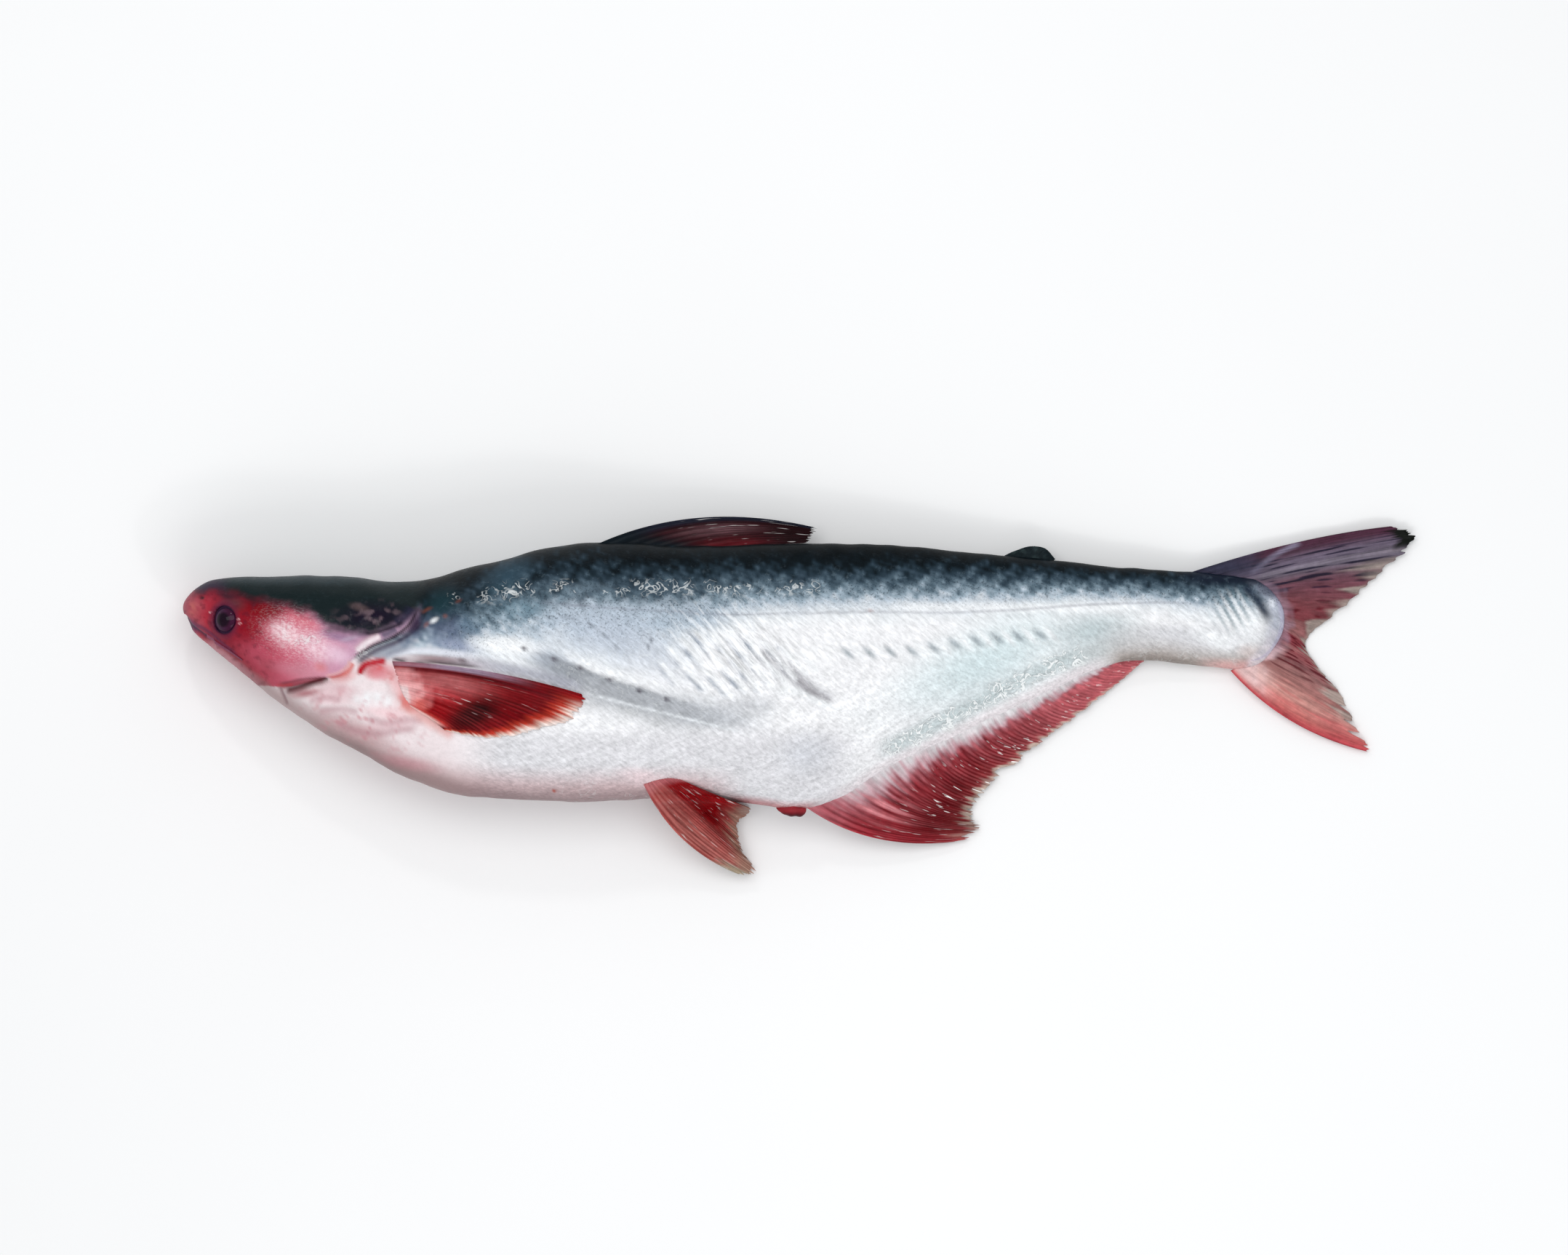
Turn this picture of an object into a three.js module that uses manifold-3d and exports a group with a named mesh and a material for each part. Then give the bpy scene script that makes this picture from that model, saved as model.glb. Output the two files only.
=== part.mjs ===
// A whole raw catfish as it lies on a counter: on its right side, with its left side up.
// Millimetres, +Z up. X runs from the snout to the tail and Y from the belly to the back.
// Sizes are first stated in the fish's own frame, with x from the tip of the snout, y from the level
// of the eye and z from the surface that it lies on. The last lines centre the whole on X and Y.
import * as THREE from "three";
import { mergeVertices } from "three/addons/utils/BufferGeometryUtils.js";
import Module from "manifold-3d";

const wasm = await Module();
wasm.setup();

// Driving dimensions of the body.
const BODY_LENGTH = 505.5; // snout to the end of the flesh in the tail
const NOSE_ROUND = 14; // length of the rounded snout
const TAIL_ROUND = 16; // length of the rounded end of the flesh
const PRESS_BLEND = 2.5; // softness of the edge round the flat patch that the fish lies on
const RING_POINTS = 30;
const NOSE_STEPS = 7;
const TRUNK_STEPS = 66;
const TAIL_STEPS = 6;

// Profiles along the body: each row is [x, value].
// Height of the back and of the belly over the eye's level.
const BACK = [
  [0, 14.5], [5, 15.7], [10, 16.9], [20, 18.4], [35, 19], [70, 19.2], [95, 17.2], [110, 17.7],
  [130, 22.8], [150, 28], [170, 32.8], [190, 35], [222, 33.6], [290, 34.2], [322, 33.8],
  [360, 30.5], [405, 26], [445, 22.2], [470, 20.8], [490, 18.5], [505.5, 15],
];
const BELLY = [
  [0, -6.5], [5, -8.8], [10, -11], [20, -18.9], [30, -27], [50, -42.7], [60, -49.6], [80, -60.5],
  [100, -71.8], [120, -79], [150, -82.8], [190, -83.8], [225, -82.5], [262, -85.3], [284, -87.5],
  [302, -82], [322, -69.5], [350, -56.2], [382, -41], [415, -25.4], [430, -19.8], [446, -19.3],
  [470, -22.4], [490, -22.5], [505.5, -18],
];
// Height of the widest point of each section.
const LEVEL = [
  [0, 5], [10, 2], [20, -1], [45, -8], [85, -17], [140, -24], [220, -27], [290, -25],
  [340, -14], [380, -5], [420, -0.5], [450, 1], [505.5, -1],
];
// Half the width of the body from its left side to its right side.
const HALF_WIDTH = [
  [0, 14], [5, 15], [10, 17], [20, 21.5], [30, 26], [45, 30.5], [60, 33], [85, 35], [110, 36],
  [145, 36], [180, 35], [220, 33], [260, 30], [300, 26], [340, 21.5], [380, 17.5], [415, 14.5],
  [445, 12], [475, 8], [490, 5.2], [505.5, 2.6],
];
// Height of the plane of symmetry over the table: the limp tail sinks to it.
const MIDPLANE = [
  [0, 25], [30, 28.5], [70, 31.5], [120, 32.5], [200, 30.8], [260, 26.5], [300, 22.3], [340, 18],
  [380, 14], [415, 11.1], [445, 8.7], [475, 6.9], [505.5, 4.6], [570, 3.4],
];
// Exponents of the sections above and below the widest point: 2 is an ellipse, more is boxier.
const FULLNESS_ABOVE = [[0, 2], [40, 2.5], [90, 2.3], [160, 2], [505.5, 2]];
const FULLNESS_BELOW = [
  [0, 2], [60, 2.1], [160, 2.35], [240, 2.1], [290, 1.6], [330, 1.4], [400, 1.45], [440, 1.75], [505.5, 2],
];

// Sizes of the details.
const EYE = { x: 19.8, y: -0.6, radius: 6.3, depth: 4.2, sunk: 2.6, gap: 0.35 };
const MEMBRANE = 1.1; // thickness of a fin between its rays
const GILL_SLIT = { width: 2.2, depth: 3.2 };
const MOUTH_SLIT = { width: 1.6, depth: 2.6 };

// A smooth curve through stations of [x, value], as a function of x.
function profile(stations) {
  const rise = (i) =>
    (stations[i + 1][1] - stations[i][1]) / (stations[i + 1][0] - stations[i][0]);
  const last = stations.length - 1;
  const slopes = stations.map(([x], i) => {
    if (i === 0) return rise(0);
    if (i === last) return rise(last - 1);
    const before = x - stations[i - 1][0];
    const after = stations[i + 1][0] - x;
    return (after * rise(i - 1) + before * rise(i)) / (before + after);
  });
  return (x) => {
    let i = 0;
    while (i < last - 1 && x > stations[i + 1][0]) i += 1;
    const [x0, y0] = stations[i];
    const [x1, y1] = stations[i + 1];
    const span = x1 - x0;
    const t = THREE.MathUtils.clamp((x - x0) / span, 0, 1);
    const a = 1 - t;
    return (
      a * a * (1 + 2 * t) * y0 +
      t * t * (3 - 2 * t) * y1 +
      span * t * a * (a * slopes[i] - t * slopes[i + 1])
    );
  };
}

const back = profile(BACK);
const belly = profile(BELLY);
const level = profile(LEVEL);
const halfWidth = profile(HALF_WIDTH);
const midplane = profile(MIDPLANE);
const fullnessAbove = profile(FULLNESS_ABOVE);
const fullnessBelow = profile(FULLNESS_BELOW);

// A bump of height 1 at distance 0 that fades out at distance 1 and beyond.
function bump(distance) {
  const t = Math.min(Math.abs(distance), 1);
  return (1 - t * t) ** 2;
}

// An oval bump round (cx, cy) with half axes rx and ry, turned by an angle in degrees.
function oval(x, y, cx, cy, rx, ry, degrees = 0) {
  const a = THREE.MathUtils.degToRad(degrees);
  const u = ((x - cx) * Math.cos(a) + (y - cy) * Math.sin(a)) / rx;
  const v = ((y - cy) * Math.cos(a) - (x - cx) * Math.sin(a)) / ry;
  return bump(Math.hypot(u, v));
}

// The rows of rib tips on the flank: under this line the belly wall is softer and sinks in.
const RIB_TIPS = { x0: 165, y0: -15.5, x1: 248, y1: -39 };

// How far the skin stands out from the plain section, the same on both sides.
function relief(x, y) {
  const along = (x - RIB_TIPS.x0) / (RIB_TIPS.x1 - RIB_TIPS.x0);
  const under = THREE.MathUtils.lerp(RIB_TIPS.y0, RIB_TIPS.y1, along) - y;
  const bellyFold = bump((along - 0.45) / 0.95) * (under > 0 ? bump(under / 26) : bump(under / 5));
  return (
    1.3 * oval(x, y, 72, -10, 34, 22, -25) + // gill cover
    1.6 * oval(x, y, 104, -29, 13, 16, 20) + // fleshy base of the pectoral fin
    1.2 * oval(x, y, 120, -15, 28, 5, -8) - // shoulder bone
    1.7 * bellyFold -
    1.4 * oval(x, y, 286, -31, 22, 9, -34) - // dent in the soft flank
    1.0 * oval(x, y, 112, 4, 12, 12) // hollow behind the head
  );
}

// The section at x: its top, bottom, widest level, half width and exponents.
function section(x) {
  const nose = Math.sqrt(1 - (1 - Math.min(x / NOSE_ROUND, 1)) ** 2);
  const tailShare = Math.max((x - BODY_LENGTH + TAIL_ROUND) / TAIL_ROUND, 0);
  const tail = Math.sqrt(Math.max(1 - tailShare ** 2, 0));
  const y = level(x);
  return {
    y,
    above: (back(x) - y) * nose * tail,
    below: (y - belly(x)) * nose * tail,
    halfWidth: halfWidth(x) * nose * tail,
    powerAbove: fullnessAbove(x),
    powerBelow: fullnessBelow(x),
  };
}

// The table presses the underside flat at z = 0.
function press(z) {
  if (z >= PRESS_BLEND) return z;
  return z <= -PRESS_BLEND ? 0 : (z + PRESS_BLEND) ** 2 / (4 * PRESS_BLEND);
}

// A point of the skin at an angle round the section: 0 is the upper flank, 90 the back.
function skinAt(x, angle) {
  const s = section(x);
  const up = Math.sin(angle);
  const out = Math.cos(angle);
  const power = 2 / (up >= 0 ? s.powerAbove : s.powerBelow);
  const y = s.y + Math.sign(up) * Math.abs(up) ** power * (up >= 0 ? s.above : s.below);
  const side = Math.sign(out);
  const width = Math.abs(out) ** power * (s.halfWidth + relief(x, y) * Math.abs(out));
  return new THREE.Vector3(x, y, press(midplane(x) + side * width));
}

// A point of the skin over a point (x, y) of the side view. side is 1 for the upper flank, -1 below.
function skinOver(x, y, side) {
  const s = section(x);
  const share = y >= s.y ? (y - s.y) / s.above : (s.y - y) / s.below;
  const power = y >= s.y ? s.powerAbove : s.powerBelow;
  const out = (1 - Math.min(share, 0.995) ** power) ** (1 / power);
  const width = out * s.halfWidth + relief(x, y) * out;
  return new THREE.Vector3(x, y, press(midplane(x) + side * width));
}

function skinNormal(x, y, side) {
  const step = 0.5;
  const alongX = skinOver(x + step, y, side).sub(skinOver(x - step, y, side));
  const alongY = skinOver(x, y + step, side).sub(skinOver(x, y - step, side));
  return alongX.cross(alongY).normalize().multiplyScalar(side);
}

// A closed mesh from a grid of points, rows[i][j]. Each row is a closed loop, and both ends are capped.
function loftOf(rows) {
  const n = rows[0].length;
  const points = rows.flat();
  const faces = [];
  for (let i = 0; i + 1 < rows.length; i += 1) {
    for (let j = 0; j < n; j += 1) {
      const a = i * n + j;
      const b = i * n + ((j + 1) % n);
      faces.push(a, b, a + n, b, b + n, a + n);
    }
  }
  for (const [row, first] of [[0, true], [rows.length - 1, false]]) {
    const centre = rows[row].reduce((sum, p) => sum.add(p), new THREE.Vector3()).divideScalar(n);
    points.push(centre);
    for (let j = 0; j < n; j += 1) {
      const a = row * n + j;
      const b = row * n + ((j + 1) % n);
      faces.push(...(first ? [points.length - 1, b, a] : [points.length - 1, a, b]));
    }
  }
  const geometry = new THREE.BufferGeometry().setFromPoints(points);
  geometry.setIndex(faces);
  return solidOf(geometry);
}

// A three.js geometry as a solid for cuts and joins. A geometry that is inside out is turned.
function solidOf(geometry) {
  const bare = geometry.clone();
  bare.deleteAttribute("normal");
  bare.deleteAttribute("uv");
  const merged = mergeVertices(bare, 1e-4);
  const vertProperties = merged.attributes.position.array;
  const triVerts = new Uint32Array(merged.index.array);
  const made = new wasm.Manifold(new wasm.Mesh({ numProp: 3, vertProperties, triVerts }));
  if (made.volume() > 0) return made;
  return new wasm.Manifold(
    new wasm.Mesh({ numProp: 3, vertProperties, triVerts: triVerts.reverse() }),
  );
}

// The body: rings of skin from the snout to the end of the flesh, closer together at both ends.
function bodySolid() {
  const stations = [];
  for (let i = 1; i < NOSE_STEPS; i += 1) {
    stations.push(NOSE_ROUND * (1 - Math.cos((i / NOSE_STEPS) * (Math.PI / 2))));
  }
  const trunk = BODY_LENGTH - TAIL_ROUND - NOSE_ROUND;
  for (let i = 0; i <= TRUNK_STEPS; i += 1) {
    stations.push(NOSE_ROUND + (trunk * i) / TRUNK_STEPS);
  }
  for (let i = 1; i < TAIL_STEPS; i += 1) {
    const share = Math.sin((i / TAIL_STEPS) * (Math.PI / 2));
    stations.push(BODY_LENGTH - TAIL_ROUND + TAIL_ROUND * share);
  }
  const ring = (x) =>
    Array.from({ length: RING_POINTS }, (_, j) => skinAt(x, (j / RING_POINTS) * 2 * Math.PI));
  return loftOf(stations.map(ring));
}

// Where a row of control points is at share u of its length.
function rowPoint(row, u) {
  const curve = new THREE.CatmullRomCurve3(row.map(([x, y]) => new THREE.Vector3(x, y, 0)));
  return curve.getPoint(u);
}

// A fin is a thin plate with raised rays. Its rows of control points run across the rays: at their
// roots, half way out and at their tips. u runs across the rays and v out along them.
function finSolid(fin) {
  const across = fin.rays * 2;
  const height = (u, v, p) => fin.height(u, v, p);
  const thickness = (u, v) => {
    const nearestRay = bump((u * fin.rays - Math.round(u * fin.rays)) * 2);
    const spine = fin.spine ? fin.spine * bump(u * fin.rays * 0.8) * (1 - 0.8 * v) : 0;
    const ray = fin.rayHeight * nearestRay * (1 - 0.75 * v);
    return MEMBRANE * (1 - 0.25 * v) + ray + spine + fin.rootThickness * (1 - v) ** 3;
  };
  const at = (u, v) => {
    const onRay = Math.round(u * fin.rays);
    const between = Math.abs(u * fin.rays - onRay) * 2;
    const torn = 1 - fin.tear * (between + 0.5 * Math.abs(Math.sin(onRay * 2.4)));
    const w = v * torn;
    const root = rowPoint(fin.root, u);
    const middle = rowPoint(fin.middle, u);
    const tip = rowPoint(fin.tip, u);
    return root
      .multiplyScalar((1 - w) * (1 - 2 * w))
      .addScaledVector(middle, 4 * w * (1 - w))
      .addScaledVector(tip, w * (2 * w - 1));
  };
  const rows = [];
  for (let k = 0; k <= fin.steps; k += 1) {
    const v = k / fin.steps;
    const upper = [];
    const lower = [];
    for (let i = 0; i <= across; i += 1) {
      const u = i / across;
      const p = at(u, v);
      const middle = height(u, v, p);
      const half = thickness(u, v) / 2;
      const [above, below] = fin.sunk ? [half, half + fin.sunk] : [half, half];
      const [top, bottom] = fin.side === -1 ? [below, above] : [above, below];
      upper.push(new THREE.Vector3(p.x, p.y, Math.max(middle + top, 0.9)));
      lower.push(new THREE.Vector3(p.x, p.y, Math.max(middle - bottom, 0)));
    }
    rows.push([...upper, ...lower.reverse()]);
  }
  return loftOf(rows);
}

// Height of a fin whose root lies in the plane of symmetry and whose tips droop to a given height.
const drooping = (tipHeight) => (u, v, p) =>
  THREE.MathUtils.lerp(midplane(p.x), tipHeight, v ** 1.2);

const CAUDAL = {
  root: [[462, 21], [478, 18], [491, 14], [497, 8], [499, -1], [498, -9], [494, -15], [488, -20], [481, -24]],
  middle: [[511.5, 35], [517, 28], [519, 20], [515, 7.5], [509, -6], [511, -15.5], [513, -24.5], [512, -35], [509.5, -47.5]],
  tip: [[555.5, 42.5], [563, 36.5], [552, 24], [533, 6], [515.5, -11], [521, -22], [529, -33], [537, -47], [543.5, -61]],
  rays: 17, steps: 6, tear: 0.035, rayHeight: 1, rootThickness: 2,
  height: (u, v, p) => midplane(p.x) - 1 + 1.4 * v * Math.cos(5 * u),
};

const ANAL = {
  root: [[285, -86], [304, -77.5], [322, -66.5], [340, -57.5], [358, -49.5], [376, -41], [394, -32.5], [412, -24.5], [431, -15.5]],
  middle: [[320, -101.8], [330, -92], [338, -84], [350, -75.5], [362, -65.5], [378.5, -55], [396, -44], [415, -33], [437, -18]],
  tip: [[365.3, -96.3], [363, -93.5], [359, -91], [363, -85], [368.3, -74.7], [382.3, -63.3], [399, -52], [419.7, -37.3], [441, -19.6]],
  rays: 24, steps: 4, tear: 0.05, rayHeight: 0.9, rootThickness: 2.4,
  height: drooping(3.2),
};

const DORSAL = {
  root: [[190, 34], [204, 32], [219, 31], [232, 30]],
  middle: [[238, 46.3], [243, 42.5], [250, 38], [258, 33]],
  tip: [[291, 41.5], [290, 40], [288, 38], [285, 34.5]],
  rays: 6, steps: 6, tear: 0.03, rayHeight: 1.4, rootThickness: 2.6, spine: 2.2,
  height: (u, v, p) => midplane(p.x) - 0.9 * Math.max(p.y - back(p.x), -2),
};

const ADIPOSE = {
  root: [[373, 26.5], [380, 25.5], [387, 24.5], [394, 23.5]],
  middle: [[376.5, 28.6], [384.5, 29.8], [392.5, 29], [398, 25.3]],
  tip: [[380.5, 30.6], [388.5, 33.1], [395.5, 32.2], [400.3, 27.3]],
  rays: 5, steps: 4, tear: 0, rayHeight: 0.2, rootThickness: 2.6,
  height: (u, v, p) => midplane(p.x) - 1.5 * v,
};

// The two pelvic fins and the two pectoral fins are alike. side is 1 for the upper one.
const pelvic = (side) => ({
  root: [[211.5, -76], [215.5, -74.5], [219.5, -73.5], [223.5, -73], [228, -73.5]],
  middle: [[229.5, -101.5], [234, -93], [237, -88], [239, -84], [244, -80.5]],
  tip: [[256, -118], [262, -116], [256, -106], [254, -96], [260, -87]],
  rays: 7, steps: 5, tear: 0.04, rayHeight: 1, rootThickness: 2.4, spine: 1,
  height: (u, v, p) => {
    const root = skinOver(p.x, Math.max(p.y, -76), side).z;
    const limp = THREE.MathUtils.lerp(root, side > 0 ? 9 : 2, v ** 0.7);
    const overBody = side > 0 && p.y > belly(p.x);
    return overBody ? Math.max(limp, skinOver(p.x, p.y, side).z + 0.6) : limp;
  },
});

const pectoral = (side) => ({
  root: [[97, -19.5], [98.5, -25], [100, -30], [102, -35], [105, -40]],
  middle: [[141, -24.3], [139, -31], [133, -38.5], [124, -44], [115, -46.5]],
  tip: [[184.5, -35], [177, -43], [160, -51.5], [140, -54], [121, -50]],
  rays: 8, steps: 5, tear: 0.03, rayHeight: 0.8, rootThickness: 1.6, spine: 3,
  side, sunk: 2,
  height: (u, v, p) => skinOver(p.x, p.y, side).z + side * 0.6,
});

// The small fleshy papilla in front of the anal fin.
function papillaSolid() {
  const papilla = new THREE.SphereGeometry(1, 12, 8);
  papilla.scale(7, 3.4, 4).rotateZ(-0.15).translate(279, -87.3, midplane(279));
  return solidOf(papilla);
}

// A V-shaped groove along a line on the skin, as the solid that is cut away.
function grooveSolid(line, { width, depth }, side) {
  const curve = new THREE.CatmullRomCurve3(line.map(([x, y]) => new THREE.Vector3(x, y, 0)));
  const steps = line.length * 2;
  const rows = [];
  for (let i = 0; i <= steps; i += 1) {
    const t = i / steps;
    const p = curve.getPoint(t);
    const along = curve.getTangent(t);
    const size = 0.35 + 0.65 * Math.sin(Math.PI * Math.min(Math.max(t, 0.06), 0.94));
    const normal = skinNormal(p.x, p.y, side);
    const across = along.cross(normal).normalize().multiplyScalar((width / 2) * size);
    const skin = skinOver(p.x, p.y, side);
    const outside = skin.clone().addScaledVector(normal, 2.5);
    rows.push([
      outside.clone().addScaledVector(across, 1.6),
      outside.clone().addScaledVector(across, -1.6),
      skin.clone().addScaledVector(normal, -depth * size),
    ]);
  }
  return loftOf(rows);
}

// The rear edge of the gill cover, from the nape down and forward to the throat.
const GILL_LINE = [
  [111, 9], [109.4, 1.2], [104.5, -5.4], [98.3, -8.2], [90.6, -11], [85, -14.3], [78.4, -19.3],
  [72, -24.5], [66.3, -27.6], [58, -30.3], [51, -33.5],
];
const MOUTH_LINE = [[1.2, 0.4], [3.2, -2.6], [6.5, -5.3], [10, -7.8], [14, -10.2]];
const BARBEL_LINE = [[11.5, -7.6], [15, -10.4], [19, -12.8], [23.5, -15.8], [28, -19]];

// A short whisker that lies along the cheek behind the mouth.
function barbelSolid(side) {
  const curve = new THREE.CatmullRomCurve3(BARBEL_LINE.map(([x, y]) => new THREE.Vector3(x, y, 0)));
  const rows = [];
  for (let i = 0; i <= 8; i += 1) {
    const p = curve.getPoint(i / 8);
    const skin = skinOver(p.x, p.y, side).addScaledVector(skinNormal(p.x, p.y, side), 0.25);
    const radius = THREE.MathUtils.lerp(1, 0.45, i / 8);
    rows.push(
      Array.from({ length: 6 }, (_, j) => {
        const a = (j / 6) * 2 * Math.PI;
        return skin.clone().add(new THREE.Vector3(0, Math.cos(a) * radius, Math.sin(a) * radius));
      }),
    );
  }
  return loftOf(rows);
}

// An eyeball, or with grow the socket that it sits in.
function eyeGeometry(side, grow = 0) {
  const normal = skinNormal(EYE.x, EYE.y, side);
  const ball = new THREE.SphereGeometry(1, 16, 10);
  ball.scale(EYE.radius + grow, EYE.radius + grow, EYE.depth + grow);
  ball.applyQuaternion(
    new THREE.Quaternion().setFromUnitVectors(new THREE.Vector3(0, 0, 1), normal),
  );
  const centre = skinOver(EYE.x, EYE.y, side).addScaledVector(normal, -EYE.sunk);
  return ball.translate(centre.x, centre.y, centre.z);
}

function fishGeometry() {
  let fish = bodySolid();
  const joined = [
    finSolid(CAUDAL), finSolid(ANAL), finSolid(DORSAL), finSolid(ADIPOSE), papillaSolid(),
  ];
  for (const side of [1, -1]) {
    joined.push(finSolid(pelvic(side)), finSolid(pectoral(side)), barbelSolid(side));
  }
  for (const solid of joined) fish = fish.add(solid);
  for (const side of [1, -1]) {
    fish = fish.subtract(grooveSolid(GILL_LINE, GILL_SLIT, side));
    fish = fish.subtract(grooveSolid(MOUTH_LINE, MOUTH_SLIT, side));
    fish = fish.subtract(solidOf(eyeGeometry(side, EYE.gap)));
  }
  // The largest piece alone: this fills hollows that the joins have sealed.
  const whole = fish.decompose().reduce((a, b) => (a.volume() > b.volume() ? a : b));
  const { numProp, vertProperties, triVerts } = whole.getMesh();
  const positions = new Float32Array((vertProperties.length / numProp) * 3);
  for (let i = 0; i < positions.length / 3; i += 1) {
    positions.set(vertProperties.subarray(i * numProp, i * numProp + 3), i * 3);
  }
  const geometry = new THREE.BufferGeometry();
  geometry.setAttribute("position", new THREE.BufferAttribute(positions, 3));
  geometry.setIndex(new THREE.BufferAttribute(triVerts, 1));
  geometry.computeVertexNormals();
  return geometry;
}

const skin = new THREE.MeshStandardMaterial({ color: 0xb9bfc6, roughness: 0.3, metalness: 0.25 });
const eye = new THREE.MeshStandardMaterial({ color: 0x1a1526, roughness: 0.12, metalness: 0 });

const fish = new THREE.Mesh(fishGeometry(), skin);
fish.name = "fish";
const eyeLeft = new THREE.Mesh(eyeGeometry(1), eye);
eyeLeft.name = "eye_left";
const eyeRight = new THREE.Mesh(eyeGeometry(-1), eye);
eyeRight.name = "eye_right";

const pieces = new THREE.Group();
pieces.add(fish, eyeLeft, eyeRight);
const centre = new THREE.Box3().setFromObject(pieces).getCenter(new THREE.Vector3());
pieces.position.set(-centre.x, -centre.y, 0);

const model = new THREE.Group();
model.add(pieces);
export default model;
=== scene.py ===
"""The looks of a whole raw catfish that lies on its right flank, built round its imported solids.

Sizes are in millimetres in the fish's own frame: x from the tip of the snout, y from the level of
the eye and z from the table. to_row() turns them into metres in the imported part's frame.
"""
from collections.abc import Callable
from dataclasses import dataclass
from functools import cache

import bpy
import numpy as np
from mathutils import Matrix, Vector


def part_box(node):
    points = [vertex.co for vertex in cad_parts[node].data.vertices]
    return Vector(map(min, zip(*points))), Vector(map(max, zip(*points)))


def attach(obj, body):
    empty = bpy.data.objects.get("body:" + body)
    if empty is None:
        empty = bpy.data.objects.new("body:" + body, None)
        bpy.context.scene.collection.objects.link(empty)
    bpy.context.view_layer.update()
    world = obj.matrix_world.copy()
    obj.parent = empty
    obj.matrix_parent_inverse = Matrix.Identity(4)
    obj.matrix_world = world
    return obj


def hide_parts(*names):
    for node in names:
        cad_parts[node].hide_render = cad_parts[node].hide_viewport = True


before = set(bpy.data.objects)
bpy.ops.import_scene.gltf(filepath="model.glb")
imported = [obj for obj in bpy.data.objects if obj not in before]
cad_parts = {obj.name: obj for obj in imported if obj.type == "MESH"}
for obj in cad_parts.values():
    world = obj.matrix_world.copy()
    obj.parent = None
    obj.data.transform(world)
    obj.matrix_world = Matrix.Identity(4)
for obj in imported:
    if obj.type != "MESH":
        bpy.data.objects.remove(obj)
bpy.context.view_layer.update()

MM = 0.001

# Driving sizes of the body, as in the solids.
BODY_LENGTH = 505.5
NOSE_ROUND = 14
TAIL_ROUND = 16
PRESS_BLEND = 2.5

# Profiles along the body, as rows of (x, value).
BACK = [
    (0, 14.5), (5, 15.7), (10, 16.9), (20, 18.4), (35, 19), (70, 19.2), (95, 17.2), (110, 17.7),
    (130, 22.8), (150, 28), (170, 32.8), (190, 35), (222, 33.6), (290, 34.2), (322, 33.8),
    (360, 30.5), (405, 26), (445, 22.2), (470, 20.8), (490, 18.5), (505.5, 15),
]
BELLY = [
    (0, -6.5), (5, -8.8), (10, -11), (20, -18.9), (30, -27), (50, -42.7), (60, -49.6), (80, -60.5),
    (100, -71.8), (120, -79), (150, -82.8), (190, -83.8), (225, -82.5), (262, -85.3), (284, -87.5),
    (302, -82), (322, -69.5), (350, -56.2), (382, -41), (415, -25.4), (430, -19.8), (446, -19.3),
    (470, -22.4), (490, -22.5), (505.5, -18),
]
LEVEL = [
    (0, 5), (10, 2), (20, -1), (45, -8), (85, -17), (140, -24), (220, -27), (290, -25),
    (340, -14), (380, -5), (420, -0.5), (450, 1), (505.5, -1),
]
HALF_WIDTH = [
    (0, 14), (5, 15), (10, 17), (20, 21.5), (30, 26), (45, 30.5), (60, 33), (85, 35), (110, 36),
    (145, 36), (180, 35), (220, 33), (260, 30), (300, 26), (340, 21.5), (380, 17.5), (415, 14.5),
    (445, 12), (475, 8), (490, 5.2), (505.5, 2.6),
]
MIDPLANE = [
    (0, 25), (30, 28.5), (70, 31.5), (120, 32.5), (200, 30.8), (260, 26.5), (300, 22.3), (340, 18),
    (380, 14), (415, 11.1), (445, 8.7), (475, 6.9), (505.5, 4.6), (570, 3.4),
]
FULLNESS_ABOVE = [(0, 2), (40, 2.5), (90, 2.3), (160, 2), (505.5, 2)]
FULLNESS_BELOW = [
    (0, 2), (60, 2.1), (160, 2.35), (240, 2.1), (290, 1.6), (330, 1.4), (400, 1.45), (440, 1.75),
    (505.5, 2),
]
EYE = {"x": 19.8, "y": -0.6, "radius": 6.3, "depth": 4.2, "sunk": 2.6}
PUPIL_RADIUS = 4.2
EYELID_RADIUS = 5.7
PAPILLA = {"x": 279, "y": -87.3, "half_length": 7, "half_width": 3.4, "half_height": 4, "turn": -0.15}

# Heights at which the back is fully dark and at which the flank turns silver.
DARK_LEVEL = [
    (0, 17), (100, 4), (114, 5), (125, 7), (135, 13), (150, 20.5), (165, 22), (183, 22.5), (216, 21.5),
    (250, 22), (300, 21.8), (340, 23), (383, 22), (416, 19.8), (450, 18.8), (475, 18.5), (505, 17),
]
SILVER_LEVEL = [
    (0, -12), (105, -14), (125, -15.5), (138, -12.5), (150, -9.5), (183, -7), (216, -8), (235, -3),
    (250, 2.5), (283, 6), (300, 6.8), (340, 7), (383, 8), (416, 9.6), (450, 7.6), (475, 4.5), (505, 6),
]
# Height of the edge of the dark crown over the red cheek.
CROWN_EDGE = [
    (0, 15.5), (6, 12.8), (10, 12), (13, 13.6), (17, 13.6), (20, 13), (24, 12.3), (28, 10.6), (33, 9.3),
    (40, 8.3), (47, 6.5), (54, 4.6), (58, 4.2), (61, 2.2), (64, -0.4), (67, -2.8), (73, -4.8), (79, -6),
    (88, -6.7), (96, -4.2), (100, -1), (112, 5),
]
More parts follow.
